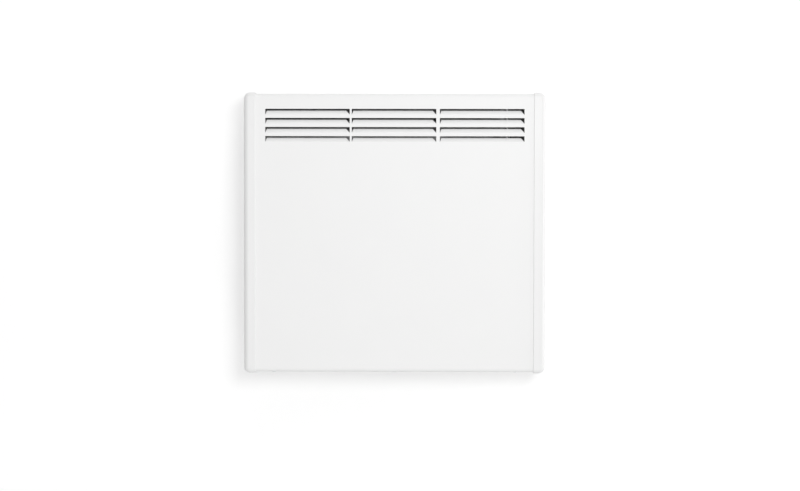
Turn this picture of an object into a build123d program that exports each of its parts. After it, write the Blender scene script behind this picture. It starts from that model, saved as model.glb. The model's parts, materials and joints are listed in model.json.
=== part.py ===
from build123d import *
import math
import os

# Wall panel convector heater on its wall bracket, in millimetres.
# The wall is the plane Y = 0, the front faces -Y and +Z is up.
# The origin is on the wall, in the middle of the bracket's four fixing holes.

# ---- Driving dimensions: the case ----
heater_width = 429.0
heater_height = 400.0
body_depth = 58.0  # rear panel's back to the front panel's face
wall_gap = 22.0  # wall to the rear panel's back
sheet = 0.8  # steel of the front and rear panels
case_bend_radius = 4.7  # outside of the front panel's long bends
rear_bend_radius = 2.2
front_return = 14.0  # how far the front panel turns in under the bottom
rear_lap = 15.0  # how far it turns down behind the rear panel
rear_flange = 12.0  # how far the rear panel turns forward at top and bottom
sheet_gap = 0.1  # between sheets that lie on each other
fit_gap = 0.2  # between a moulding and the sheet that it holds

# ---- End caps ----
cap_width = 16.2
cap_wall = 1.6
cap_lap = 6.0  # how far the sheets reach into a cap
cap_corner_radius = 9.0
cap_front_radius = 6.3
cap_rear_radius = 3.0
cap_lip_radius = 0.6  # front edge beside the panel
cap_tab_reach = 12.0
cap_tab_height = 22.0
cap_tab_corner = 5.5
cap_tab_inset = 32.0  # from the heater's top and bottom
cap_rib = 1.4
cap_rib_count = 5
cap_rib_inset = 72.0

# ---- Louvres ----
louvre_left_margin = 30.7  # heater's side to the first slits
louvre_right_margin = 30.0
louvre_gaps = (2.9, 5.2)  # between the three columns
louvre_rows = 4
louvre_pitch = 12.9
louvre_drop = 21.55  # panel's top edge to the first slit's upper edge
louvre_slit = 2.65
louvre_strip = 5.2  # height of the strip pressed inwards below each slit
louvre_depth = 2.6
louvre_bend_radius = 2.4
louvre_root = 1.0  # flat of a strip that is one with the panel
louvre_end_cut = 0.3  # at a strip's root
louvre_end_slants = (1.8, 4.6)  # at its upper edge, on the left and on the right

# ---- Inlet grille ----
grille_slot_width = 3.4
grille_rows = 4
grille_columns = 7
grille_row_pitch = 6.6
grille_bridge = 7.0  # steel left between two slots of a row
grille_margin = 37.5  # heater's side to the first slot
rivet_count = 3  # along each flange
rivet_side_inset = 42.5
rivet_radius = 1.6
rivet_head_radius = 3.2
rivet_head = 1.2
rivet_inset = 5.0  # from a flange's free edge

# ---- Air duct ----
shield_sheet = 0.6
shield_distance = 7.2  # rear panel's inside to the shield's back
shield_side_gap = 22.5  # heater's left side to the shield's
shield_foot = 8.0
shield_rise = 48.0  # heater's bottom to the shield's lower edge
shield_top_drop = 14.0
shield_bend_drop = 42.0
shield_splice_drop = 80.0  # above this the shield has no side walls
shield_nose_gap = 3.0  # front panel's inside to the shield's top edge
shield_bend_radius = 40.0
wiring_width = 54.5  # heater's right side to the partition
partition_end_gap = 14.0
partition_front_gap = 4.0
partition_foot = 8.0
feet_gap = 1.0  # shield's foot to the partition's
fold_radius = 1.6
grommet_rise = 2.0  # above the element's axis
grommet_hole_radius = 8.0
grommet_bore_radius = 5.0
grommet_lip = 1.6

# ---- Heating element ----
element_side_gap = 43.5  # heater's left side to the element's end
element_partition_gap = 37.0  # element's other end to the partition
element_front_gap = 27.0  # front panel's face to the element's axis
element_rise = 76.0  # heater's bottom to the element's axis
element_core_radius = 7.5
element_arm = 21.0
element_arm_thickness = 2.0
element_fin_thickness = 1.2
element_fin_start = 11.0
element_fin_pitch = 4.2
element_fins_per_arm = 3
element_fin_half = 4.0
element_fin_growth = 1.5
sheath_radius = 4.0
sheath_overhang = 12.0
pin_radius = 1.6
pin_length = 10.0
bush_radius = 7.0
bush_flange_radius = 9.0
bush_flange = 2.0
bush_body = 6.0
bracket_offset = 6.0  # element's end to its bracket
bracket_sheet = 1.0
bracket_half_width = 13.0
bracket_foot = 12.0
bracket_reach = 13.0  # past the element's axis
bracket_corner = 4.3
running_gap = 0.05  # radial, of a shaft in its bore

# ---- Thermal cut-out ----
cutout_inset = 46.0  # from the shield's right side
cutout_rise = 54.0  # above the element's axis
cutout_radius = 9.0
cutout_height = 8.0
cutout_ear_length = 36.0
cutout_ear_width = 9.0
cutout_ear = 1.0
cutout_screw_offset = 13.5
cutout_tab_start = 3.0

# ---- Control recess in the right end cap ----
recess_drop = 85.0  # heater's top to the recess's middle
recess_width = 46.0
recess_height = 90.0
recess_depth = 9.5
recess_radius = 9.0
recess_edge = 0.6
moulded_edge = 1.0  # chamfer round small mouldings
dial_rise = 19.0  # above the recess's middle
dial_radius = 14.0
dial_disc = 3.0
dial_height = 8.6
dial_grip_width = 7.0
dial_grip_length = 25.0
dial_grip_taper = 5.0  # degrees
dial_grip_edge = 0.8
dial_floor_gap = 0.4
spindle_radius = 3.0
spindle_flat = 2.2  # axis to the flat of the D
spindle_reach = 7.0  # recess floor to the spindle's outer end
spindle_root = 12.0  # recess floor to its inner end
spindle_bore = 14.0  # recess floor to the bottom of its bore
thermostat_nose_radius = 5.5
thermostat_depth = 22.0
thermostat_width = 34.0
thermostat_height = 38.0
thermostat_corner = 2.0
control_screw_offset = 9.5
control_screw_radius = 1.5
control_screw_head_radius = 2.9
control_screw_head = 1.3
control_screw_length = 8.0
lamp_drop = 10.5  # below the recess's middle
lens_radius = 2.5
lens_head_radius = 3.8
lens_head = 1.2
lens_edge = 0.6
lens_length = 6.0
lamp_radius = 4.0
lamp_length = 14.0

# ---- Rocker switch ----
switch_drop = 29.0  # below the recess's middle
switch_bezel_height = 22.4
switch_bezel_width = 15.0
switch_bezel = 1.6
switch_bezel_radius = 1.5
switch_bezel_edge = 0.5
switch_body_height = 19.4
switch_body_width = 13.0
switch_body_depth = 16.0
switch_lug = 0.9  # how far a snap lug stands out behind the recess floor
switch_lug_length = 4.0
switch_lug_width = 5.0
switch_pocket_height = 17.4
switch_pocket_width = 11.2
switch_pocket_depth = 9.4
rocker_half_length = 7.5
rocker_half_width = 5.2
rocker_end_rise = 5.2
rocker_middle_rise = 4.3
rocker_shoulder = 1.2
rocker_root = 4.0
rocker_root_half = 3.0
rocker_tilt = 9.0  # degrees either side of level
rocker_pivot_depth = 3.0  # recess floor to the pivot
rocker_pin_radius = 1.0
rocker_pin_reach = 0.9

# ---- Supply side ----
supply_inset = 32.0  # heater's right side to the block's and the earth screw's middle
block_drop = 16.0  # below the element's axis
block_width = 38.0
block_height = 20.0
block_depth = 16.0
block_edge = 1.5
block_slit = 1.0
block_slit_length = 6.7
block_ways = 3
block_way_pitch = 12.0
block_bore_radius = 1.9
block_bore_depth = 10.0  # rear face to the bores' axes
block_screw_offset = 5.0
block_screw_radius = 1.7
gland_inset = 37.5  # from the heater's right side
gland_rise = 24.0  # above its bottom
gland_bore_radius = 3.7
gland_radius = 6.0
gland_flange_radius = 8.2
gland_flange = 3.0
gland_body = 12.0
gland_nut_across = 15.0
gland_nut = 5.0
earth_rise = 48.0  # terminal block to the earth screw
lug_radius = 4.6
lug_thickness = 0.8
lug_barrel_radius = 1.9
lug_barrel_length = 5.0
tab_width = 6.3
tab_thickness = 0.8
tab_length = 8.0
switch_tab_offset = 5.0
thermostat_tab_offset = 9.0
lead_radius = 1.1
lead_bend = 5.0  # at the terminals
lead_curve = 12.0  # bends in the open
lead_entry = 2.5  # into a terminal's bore
lead_loop = 12.0  # out of a terminal before a turn
lead_sweep = 60.0
lead_rise = 24.0
riser_gap = 6.0  # partition to the leads that run up it
riser_shift = 9.0  # sideways, where two leads pass
duct_lead_gap = 8.0  # partition to the lead on its hot side
grommet_lead_offset = 2.4
cutout_lead_run = 28.0
cutout_lead_fall = 44.0
pin_loop = 5.0
pin_bend = 4.0
earth_lead_rise = 9.0
earth_lead_drop = 20.0
clip_count = 3
clip_start = 29.0  # element's left end to the first clip
clip_end = 11.0  # last clip to where the lead leaves the shield
clip_width = 5.0
clip_wall = 1.2
bulb_radius = 3.5
bulb_length = 46.0
bulb_front_gap = 12.0  # front panel's face to the bulb's axis
bulb_rise = 64.0  # element's axis to the bulb's upper end
bulb_clip_length = 9.0
capillary_radius = 0.8
capillary_inset = 6.0
capillary_side = 8.0
capillary_drop = 14.0
capillary_rise = 60.0
capillary_curve = 20.0

# ---- Screws ----
screw_radius = 1.9
screw_head_radius = 3.6
screw_head = 2.2
screw_length = 6.0
screw_hole_gap = 0.2
small_head_radius = 2.4
small_head = 1.4
small_screw_length = 5.0
earth_screw_length = 3.5
lap_screw_count = 4
lap_screw_inset = 62.5
lap_screw_drop = 8.0  # panel's top edge to the screws

# ---- Pressed beads of the rear panel ----
bead_inset = 72.5  # heater's side to a bead's middle
bead_end_gap = 70.0  # heater's top and bottom to a bead's ends
bead_width = 13.0
bead_height = 1.6
bead_taper = 35.0  # degrees

# ---- Wall bracket ----
bracket_steel = 1.5
bracket_side_margin = 114.5  # heater's side to the bracket's
bracket_end_margin = 65.0
bracket_bend_radius = 2.5
bracket_flange = 9.0
fixing_side_inset = 20.0  # from the bracket's side
fixing_end_inset = 19.0
fixing_slot_width = 5.5
fixing_slot_length = 13.0
window_side_margin = 34.0
window_end_margin = 43.0
window_radius = 14.0
hook_drop = 112.0  # heater's top to where its weight rests on the upper hooks
hook_rise = 96.0  # heater's bottom to the lower hooks
hook_arm = 9.0
hook_tip = 9.0
hook_tip_width = 4.0
hook_tip_flat = 1.4
hook_tip_slope = 2.5
hook_lug_above = 14.0
hook_lug_below = 4.0
hook_lug_slope = 9.0
hang_gap = 0.3  # hook to sheet, every way
hanger_slot_width = 6.0
hanger_slot_corner = 1.0
hanger_slot_spare = 1.5
lift_travel = 12.0

# ---- Worked out from the above ----
half_width = heater_width / 2
half_height = heater_height / 2
half_sheet = sheet / 2
rear_y = -wall_gap
front_y = rear_y - body_depth
front_inside_y = front_y + sheet
rear_inside_y = rear_y - sheet
panel_half_height = half_height - cap_wall - fit_gap
cap_inner_x = half_width - cap_width
panel_half_width = cap_inner_x + cap_lap
lap_y = rear_y + sheet_gap + sheet
cap_front_y = front_y - fit_gap - cap_wall
cap_rear_y = lap_y + fit_gap + cap_wall
control_y = (cap_front_y + cap_rear_y) / 2
recess_floor_x = half_width - recess_depth
recess_back_x = recess_floor_x - cap_wall
recess_z = half_height - recess_drop
dial_z = recess_z + dial_rise
lamp_z = recess_z - lamp_drop
switch_z = recess_z - switch_drop
duct_middle_y = (front_y + front_return + rear_y - rear_flange) / 2
grille_z = -panel_half_height + sheet + sheet_gap
partition_x = half_width - wiring_width
partition_half_height = half_height - partition_end_gap
shield_left = shield_side_gap - half_width
shield_right = partition_x - partition_foot - feet_gap - shield_foot
shield_bottom = shield_rise - half_height
shield_splice = half_height - shield_splice_drop
shield_y = rear_inside_y - shield_distance - shield_sheet / 2
shield_face_y = shield_y - shield_sheet / 2
element_ends_x = (element_side_gap - half_width, partition_x - element_partition_gap)
element_length = element_ends_x[1] - element_ends_x[0]
element_y = front_y + element_front_gap
element_z = element_rise - half_height
grommet_z = element_z + grommet_rise
cutout_x = shield_right - cutout_inset
cutout_z = element_z + cutout_rise
louvre_length = (
    heater_width - louvre_left_margin - louvre_right_margin - sum(louvre_gaps)
) / (len(louvre_gaps) + 1)
louvre_column_x = [
    louvre_left_margin - half_width + louvre_length / 2 + column * louvre_length + shift
    for column, shift in enumerate((0, louvre_gaps[0], sum(louvre_gaps)))
]
louvre_top_z = panel_half_height - louvre_drop
louvre_hinges_z = [
    louvre_top_z - louvre_slit - louvre_strip - row * louvre_pitch for row in range(louvre_rows)
]
rocker_pivot_x = recess_floor_x - rocker_pivot_depth
switch_back_x = recess_floor_x - switch_body_depth
thermostat_front_x = recess_back_x - sheet_gap
thermostat_back_x = thermostat_front_x - thermostat_depth
bracket_half_span = half_width - bracket_side_margin
bracket_half_rise = half_height - bracket_end_margin
fixing_x = bracket_half_span - fixing_side_inset
fixing_z = bracket_half_rise - fixing_end_inset
hook_x = bracket_half_span - bracket_steel / 2
hook_z = (half_height - hook_drop, hook_rise - half_height)
cap_tab_x = cap_inner_x - cap_tab_reach / 2
cap_tab_z = half_height - cap_tab_inset
block_x = half_width - supply_inset
block_z = element_z - block_drop
block_top_z = block_z + block_height / 2
block_rear_y = rear_inside_y - fit_gap
block_front_y = block_rear_y - block_depth
block_bore_y = block_rear_y - block_bore_depth
gland_x = half_width - gland_inset
gland_z = gland_rise - half_height
earth_x = block_x
earth_z = block_z + earth_rise
clip_lead_y = shield_face_y - sheet_gap - clip_wall - lead_radius - fit_gap
bulb_x = partition_x + half_sheet + sheet_gap + clip_wall + bulb_radius + sheet_gap
bulb_y = front_y + bulb_front_gap
bulb_z = element_z + bulb_rise

os.makedirs("parts", exist_ok=True)


def save(piece, name):
    """Label a finished piece and write it to its own file."""
    piece.part.label = name
    export_step(piece.part, f"parts/{name}.step")


def folded_sheet(plane, points, radius, thickness, length):
    """A sheet folded along the middle line of its section and drawn out to its length."""
    with BuildPart() as folded:
        with BuildSketch(plane):
            with BuildLine():
                FilletPolyline(*points, radius=radius)
            trace(line_width=thickness)
        extrude(amount=length)
    return folded.part


def wire_along(points, wire_radius, bend_radii):
    """A round wire along straight runs joined by tangent arcs."""
    with BuildPart() as wire:
        with BuildLine() as route:
            FilletPolyline(*points, radius=bend_radii)
        with BuildSketch(Plane(origin=route.line @ 0, z_dir=route.line % 0)):
            Circle(wire_radius)
        sweep()
    return wire.part


def headed_fastener(shank_radius, head_radius, head_height, length):
    """A fastener along Z with its head's underside at Z = 0."""
    with BuildPart() as fastener:
        with BuildSketch():
            Circle(head_radius)
        extrude(amount=head_height)
        with BuildSketch():
            Circle(shank_radius)
        extrude(amount=-length)
    return fastener.part


def spread(count, side_inset):
    """X of pieces spaced evenly across the heater's width."""
    pitch = (heater_width - 2 * side_inset) / (count - 1)
    return [side_inset - half_width + index * pitch for index in range(count)]


pan_screw = headed_fastener(screw_radius, screw_head_radius, screw_head, screw_length)
small_screw = headed_fastener(
    control_screw_radius, small_head_radius, small_head, small_screw_length
)
rivet = headed_fastener(
    rivet_radius, rivet_head_radius, rivet_head, 2 * sheet + sheet_gap + rivet_head
)

# Places that several pieces share: X and Z of the screws, X and Y of the rivets.
lap_screw_places = [
    (x, panel_half_height - lap_screw_drop) for x in spread(lap_screw_count, lap_screw_inset)
]
cap_screw_places = [(side * cap_tab_x, end * cap_tab_z) for side in (-1, 1) for end in (-1, 1)]
cutout_screw_places = [
    (cutout_x + side * cutout_screw_offset, cutout_z) for side in (-1, 1)
]
rivet_x = spread(rivet_count, rivet_side_inset)
front_rivet_places = [(x, front_y + front_return - rivet_inset) for x in rivet_x]
rear_rivet_places = [(x, rear_y - rear_flange + rivet_inset) for x in rivet_x]
rivet_places = front_rivet_places + rear_rivet_places
mid_depth = Plane.XZ.offset(wall_gap + body_depth / 2)

# ---- Front panel: one folded sheet with lanced louvres ----
with BuildPart() as louvre:
    with BuildSketch(Plane.YZ.offset(-louvre_length / 2)):
        with BuildLine():
            FilletPolyline(
                (0, -louvre_root),
                (0, 0),
                (louvre_depth, louvre_strip),
                radius=louvre_bend_radius,
            )
        trace(line_width=sheet)
    extrude(amount=louvre_length)
    root_left, root_right = louvre_end_cut - louvre_length / 2, louvre_length / 2 - louvre_end_cut
    left_slant, right_slant = louvre_end_slants
    with BuildSketch(Plane.XZ.offset(-louvre_depth - sheet)):
        with BuildLine():
            Polyline(
                (root_left, -louvre_root),
                (root_left, 0),
                (root_left + left_slant, louvre_strip),
                (root_left + left_slant, louvre_strip + sheet),
                (root_right - right_slant, louvre_strip + sheet),
                (root_right - right_slant, louvre_strip),
                (root_right, 0),
                (root_right, -louvre_root),
                close=True,
            )
        make_face()
    extrude(amount=louvre_depth + 2 * sheet, mode=Mode.INTERSECT)

lap_middle_y = lap_y - half_sheet
panel_edge_z = panel_half_height - half_sheet
with BuildPart() as front_panel:
    with BuildSketch(Plane.YZ.offset(-panel_half_width)):
        with BuildLine():
            FilletPolyline(
                (front_y + front_return, -panel_edge_z),
                (front_y + half_sheet, -panel_edge_z),
                (front_y + half_sheet, panel_edge_z),
                (lap_middle_y, panel_edge_z),
                (lap_middle_y, panel_half_height - rear_lap),
                radius=[
                    case_bend_radius - half_sheet,
                    case_bend_radius - half_sheet,
                    rear_bend_radius - half_sheet,
                ],
            )
        trace(line_width=sheet)
    extrude(amount=2 * panel_half_width)
    opening_middle = (louvre_strip + louvre_slit) / 2
    with BuildSketch(mid_depth):
        with Locations(
            *[(x, z + opening_middle) for x in louvre_column_x for z in louvre_hinges_z]
        ):
            Rectangle(louvre_length, louvre_strip + louvre_slit)
    extrude(amount=body_depth, mode=Mode.SUBTRACT)
    with Locations(
        *[(x, front_y + half_sheet, z) for x in louvre_column_x for z in louvre_hinges_z]
    ):
        add(louvre.part)
    with BuildSketch(Plane.XZ.offset(-lap_y)):
        with Locations(*lap_screw_places):
            Circle(screw_radius + screw_hole_gap)
    extrude(amount=2 * sheet, mode=Mode.SUBTRACT)
    with BuildSketch(Plane.XY.offset(-panel_half_height)):
        with Locations(*front_rivet_places):
            Circle(rivet_radius + screw_hole_gap)
    extrude(amount=2 * sheet, mode=Mode.SUBTRACT)
save(front_panel, "front_panel")

# ---- Rear panel ----
rear_top_z = panel_half_height - sheet - sheet_gap - half_sheet
hanger_slot_top = hang_gap
hanger_slot_bottom = -hook_arm - lift_travel - hanger_slot_spare
with BuildPart() as rear_panel:
    with BuildSketch(Plane.YZ.offset(-panel_half_width)):
        with BuildLine():
            FilletPolyline(
                (rear_y - rear_flange, -panel_edge_z),
                (rear_y - half_sheet, -panel_edge_z),
                (rear_y - half_sheet, rear_top_z),
                (rear_y - rear_flange, rear_top_z),
                radius=rear_bend_radius - half_sheet,
            )
        trace(line_width=sheet)
    extrude(amount=2 * panel_half_width)
    with BuildSketch(Plane.XZ.offset(-lap_y)):
        with Locations(
            *[
                (side * hook_x, z + (hanger_slot_top + hanger_slot_bottom) / 2)
                for side in (-1, 1)
                for z in hook_z
            ]
        ):
            RectangleRounded(
                hanger_slot_width,
                hanger_slot_top - hanger_slot_bottom,
                radius=hanger_slot_corner,
            )
        with Locations(*lap_screw_places, *cap_screw_places, (earth_x, earth_z)):
            Circle(screw_radius + screw_hole_gap)
        with Locations((gland_x, gland_z)):
            Circle(gland_radius + sheet_gap)
    extrude(amount=3 * sheet, mode=Mode.SUBTRACT)
    with BuildSketch(Plane.XY.offset(-panel_half_height)):
        with Locations(*rear_rivet_places):
            Circle(rivet_radius + screw_hole_gap)
    extrude(amount=2 * sheet, mode=Mode.SUBTRACT)
    bead_places = [(side * (half_width - bead_inset), 0) for side in (-1, 1)]
    with BuildSketch(Plane.XZ.offset(-rear_y)):
        with Locations(*bead_places):
            SlotOverall(heater_height - 2 * bead_end_gap, bead_width, rotation=90)
    extrude(amount=-bead_height, taper=bead_taper)
    with BuildSketch(Plane.XZ.offset(-rear_inside_y)):
        with Locations(*bead_places):
            SlotOverall(
                heater_height - 2 * (bead_end_gap + half_sheet),
                bead_width - 2 * half_sheet,
                rotation=90,
            )
    extrude(amount=-bead_height, taper=bead_taper, mode=Mode.SUBTRACT)
save(rear_panel, "rear_panel")

# ---- Inlet grille: a slotted strip on the bottom flanges ----
grille_front_y = front_y + case_bend_radius + fit_gap
grille_rear_y = rear_y - rear_bend_radius - fit_gap
grille_slot_length = (
    heater_width - 2 * grille_margin - (grille_columns - 1) * grille_bridge
) / grille_columns
with BuildPart() as inlet_grille:
    with BuildSketch(Plane.XY.offset(grille_z)):
        with Locations((0, grille_front_y)):
            Rectangle(
                2 * (panel_half_width - fit_gap),
                grille_rear_y - grille_front_y,
                align=(Align.CENTER, Align.MIN),
            )
        with Locations((0, duct_middle_y)):
            with GridLocations(
                grille_slot_length + grille_bridge, grille_row_pitch, grille_columns, grille_rows
            ):
                Rectangle(grille_slot_length, grille_slot_width, mode=Mode.SUBTRACT)
        with Locations(*rivet_places):
            Circle(rivet_radius + screw_hole_gap, mode=Mode.SUBTRACT)
    extrude(amount=sheet)
save(inlet_grille, "inlet_grille")

# ---- End caps ----


def cap_shell():
    """The moulding over the +X end of the case, open towards the case."""
    with BuildPart() as shell:
        with BuildSketch(Plane.XZ.offset(-cap_rear_y)):
            with Locations((cap_inner_x, 0)):
                Rectangle(cap_width, heater_height, align=(Align.MIN, Align.CENTER))
            fillet(vertices().group_by(Axis.X)[-1], radius=cap_corner_radius)
        extrude(amount=cap_rear_y - cap_front_y)
        front_rim = shell.faces().sort_by(Axis.Y)[0].edges().sort_by(Axis.X)[1:]
        fillet(front_rim, radius=cap_front_radius)
        rear_rim = shell.faces().sort_by(Axis.Y)[-1].edges().sort_by(Axis.X)[1:]
        fillet(rear_rim, radius=cap_rear_radius)
        offset(amount=-cap_wall, openings=shell.faces().sort_by(Axis.X)[0])
        front_lip = shell.faces().sort_by(Axis.Y)[0].edges().sort_by(Axis.X)[0]
        fillet(front_lip, radius=cap_lip_radius)
        rib_front_y = cap_front_y + cap_front_radius
        rib_rear_y = cap_rear_y - cap_rear_radius
        rib_pitch = (heater_height - 2 * cap_rib_inset) / (cap_rib_count - 1)
        with BuildSketch(Plane.YZ.offset(panel_half_width + fit_gap)):
            with Locations(((rib_front_y + rib_rear_y) / 2, 0)):
                with GridLocations(1, rib_pitch, 1, cap_rib_count):
                    Rectangle(rib_rear_y - rib_front_y, cap_rib)
        extrude(amount=half_width - cap_wall / 2 - panel_half_width - fit_gap)
        tab_front_y = rear_y + fit_gap
        with BuildSketch(Plane.XZ.offset(-cap_rear_y)):
            with Locations(*[(cap_inner_x - cap_tab_reach, end * cap_tab_z) for end in (-1, 1)]):
                Rectangle(
                    cap_tab_reach + cap_wall, cap_tab_height, align=(Align.MIN, Align.CENTER)
                )
            fillet(vertices().group_by(Axis.X)[0], radius=cap_tab_corner)
            with Locations(*[(cap_tab_x, end * cap_tab_z) for end in (-1, 1)]):
                Circle(screw_radius + screw_hole_gap, mode=Mode.SUBTRACT)
        extrude(amount=cap_rear_y - tab_front_y)
    return shell.part


plain_cap = cap_shell()

with BuildPart() as left_end_cap:
    add(plain_cap)
    mirror(about=Plane.YZ, mode=Mode.REPLACE)
save(left_end_cap, "left_end_cap")

with BuildPart() as right_end_cap:
    add(plain_cap)
    with BuildSketch(Plane.YZ.offset(recess_back_x)):
        with Locations((control_y, recess_z)):
            RectangleRounded(
                recess_width + 2 * cap_wall,
                recess_height + 2 * cap_wall,
                radius=recess_radius + cap_wall,
            )
    extrude(amount=half_width - recess_back_x)
    with BuildSketch(Plane.YZ.offset(recess_floor_x)):
        with Locations((control_y, recess_z)):
            RectangleRounded(recess_width, recess_height, radius=recess_radius)
    extrude(amount=recess_depth, mode=Mode.SUBTRACT)
    mouth = right_end_cap.faces().sort_by(Axis.X)[-1].inner_wires()[0]
    chamfer(mouth.edges(), length=recess_edge)
    with BuildSketch(Plane.YZ.offset(recess_back_x)):
        with Locations((control_y, switch_z)):
            Rectangle(switch_body_width + 2 * fit_gap, switch_body_height + 2 * fit_gap)
        with Locations((control_y, dial_z)):
            Circle(thermostat_nose_radius + fit_gap)
        with Locations((control_y, lamp_z)):
            Circle(lens_radius + sheet_gap)
    extrude(amount=cap_wall, mode=Mode.SUBTRACT)
    with Locations(
        *[
            Plane(origin=(recess_floor_x, control_y + side, dial_z), z_dir=(1, 0, 0))
            for side in (-control_screw_offset, control_screw_offset)
        ]
    ):
        CounterSinkHole(
            control_screw_radius + sheet_gap,
            control_screw_head_radius + sheet_gap,
            depth=cap_wall,
        )
save(right_end_cap, "right_end_cap")

# ---- Screws and rivets of the case ----
with BuildPart() as panel_screws:
    with Locations(
        *[Plane(origin=(x, lap_y, z), z_dir=(0, 1, 0)) for x, z in lap_screw_places]
    ):
        add(pan_screw)
save(panel_screws, "panel_screws")

with BuildPart() as cap_screws:
    with Locations(
        *[Plane(origin=(x, cap_rear_y, z), z_dir=(0, 1, 0)) for x, z in cap_screw_places]
    ):
        add(pan_screw)
save(cap_screws, "cap_screws")

with BuildPart() as grille_rivets:
    with Locations(
        *[Plane(origin=(x, y, -panel_half_height), z_dir=(0, 0, -1)) for x, y in rivet_places]
    ):
        add(rivet)
save(grille_rivets, "grille_rivets")

# ---- Heat shield: a hat section whose top curves forward over the louvres ----
shield_foot_y = rear_inside_y - sheet_gap - shield_sheet / 2
with BuildPart() as heat_shield:
    with BuildSketch(Plane.XY.offset(shield_bottom)):
        with BuildLine():
            FilletPolyline(
                (shield_left - shield_foot, shield_foot_y),
                (shield_left, shield_foot_y),
                (shield_left, shield_y),
                (shield_right, shield_y),
                (shield_right, shield_foot_y),
                (shield_right + shield_foot, shield_foot_y),
                radius=fold_radius,
            )
        trace(line_width=shield_sheet)
    extrude(amount=shield_splice - shield_bottom)
    with BuildSketch(Plane.YZ.offset(shield_left + fold_radius)):
        with BuildLine():
            FilletPolyline(
                (shield_y, shield_splice - fold_radius),
                (shield_y, half_height - shield_bend_drop),
                (front_inside_y + shield_nose_gap, half_height - shield_top_drop),
                radius=shield_bend_radius,
            )
        trace(line_width=shield_sheet)
    extrude(amount=shield_right - shield_left - 2 * fold_radius)
    with BuildSketch(Plane.XZ.offset(-shield_y - shield_sheet)):
        with Locations(*cutout_screw_places):
            Circle(control_screw_radius + sheet_gap)
    extrude(amount=2 * shield_sheet, mode=Mode.SUBTRACT)
save(heat_shield, "heat_shield")

# ---- Partition between the hot duct and the wiring, with its grommet ----
partition_foot_y = rear_inside_y - sheet_gap - half_sheet
with BuildPart() as wiring_partition:
    add(
        folded_sheet(
            Plane.XY.offset(-partition_half_height),
            [
                (partition_x - partition_foot, partition_foot_y),
                (partition_x, partition_foot_y),
                (partition_x, front_inside_y + partition_front_gap),
            ],
            fold_radius,
            sheet,
            2 * partition_half_height,
        )
    )
    with BuildSketch(Plane.YZ.offset(partition_x - sheet)):
        with Locations((element_y, grommet_z)):
            Circle(grommet_hole_radius)
    extrude(amount=2 * sheet, mode=Mode.SUBTRACT)
save(wiring_partition, "wiring_partition")

grommet_half = half_sheet + sheet_gap
with BuildPart() as partition_grommet:
    with BuildSketch(Plane.YZ.offset(partition_x - grommet_half - grommet_lip)):
        with Locations((element_y, grommet_z)):
            Circle(grommet_hole_radius + grommet_lip)
    extrude(amount=2 * (grommet_half + grommet_lip))
    with BuildSketch(Plane.YZ.offset(partition_x - grommet_half)):
        with Locations((element_y, grommet_z)):
            Circle(grommet_hole_radius + 2 * grommet_lip)
            Circle(grommet_hole_radius - sheet_gap, mode=Mode.SUBTRACT)
    extrude(amount=2 * grommet_half, mode=Mode.SUBTRACT)
    with BuildSketch(Plane.YZ.offset(partition_x - grommet_half - grommet_lip)):
        with Locations((element_y, grommet_z)):
            Circle(grommet_bore_radius)
    extrude(amount=2 * (grommet_half + grommet_lip), mode=Mode.SUBTRACT)
save(partition_grommet, "partition_grommet")

# ---- Heating element: finned aluminium on a sheathed rod ----
element_section = Plane(origin=(element_ends_x[0], element_y, element_z), z_dir=(1, 0, 0))
with BuildPart() as heating_element:
    with BuildSketch(element_section):
        Circle(element_core_radius)
        for quarter in range(4):
            angle = 45 + 90 * quarter
            with PolarLocations(0, 1, start_angle=angle):
                Rectangle(element_arm, element_arm_thickness, align=(Align.MIN, Align.CENTER))
            for fin in range(element_fins_per_arm):
                fin_half = element_fin_half + fin * element_fin_growth
                with PolarLocations(element_fin_start + fin * element_fin_pitch, 1, angle):
                    Rectangle(element_fin_thickness, 2 * fin_half)
        Circle(sheath_radius + running_gap, mode=Mode.SUBTRACT)
    extrude(amount=element_length)
save(heating_element, "heating_element")

sheath_length = element_length + 2 * sheath_overhang
with BuildPart() as element_sheath:
    with BuildSketch(element_section.offset(-sheath_overhang)):
        Circle(sheath_radius)
    extrude(amount=sheath_length)
save(element_sheath, "element_sheath")

with BuildPart() as element_pins:
    for start in (-sheath_overhang - pin_length, element_length + sheath_overhang):
        with BuildSketch(element_section.offset(start)):
            Circle(pin_radius)
        extrude(amount=pin_length)
save(element_pins, "element_pins")

element_right_plane = Plane(
    origin=(element_ends_x[1] + bracket_offset, element_y, element_z), z_dir=(1, 0, 0)
)
element_left_plane = Plane(
    origin=(element_ends_x[0] - bracket_offset, element_y, element_z), z_dir=(-1, 0, 0)
)
bracket_foot_y = shield_face_y - sheet_gap - bracket_sheet / 2


def element_bracket(plane, outwards):
    """A folded foot on the heat shield with a hole that carries the ceramic bush."""
    x = plane.origin.X
    with BuildPart() as bracket:
        add(
            folded_sheet(
                Plane.XY.offset(element_z - bracket_half_width),
                [
                    (x + outwards * bracket_foot, bracket_foot_y),
                    (x, bracket_foot_y),
                    (x, element_y - bracket_reach),
                ],
                fold_radius,
                bracket_sheet,
                2 * bracket_half_width,
            )
        )
        with BuildSketch(plane.offset(-bracket_sheet)):
            Circle(bush_radius + sheet_gap)
        extrude(amount=2 * bracket_sheet, mode=Mode.SUBTRACT)
        front_corners = bracket.edges().filter_by(Axis.X).group_by(Axis.Y)[0]
        fillet(front_corners, radius=bracket_corner)
    return bracket


save(element_bracket(element_left_plane, -1), "element_bracket_left")
save(element_bracket(element_right_plane, 1), "element_bracket_right")

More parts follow.
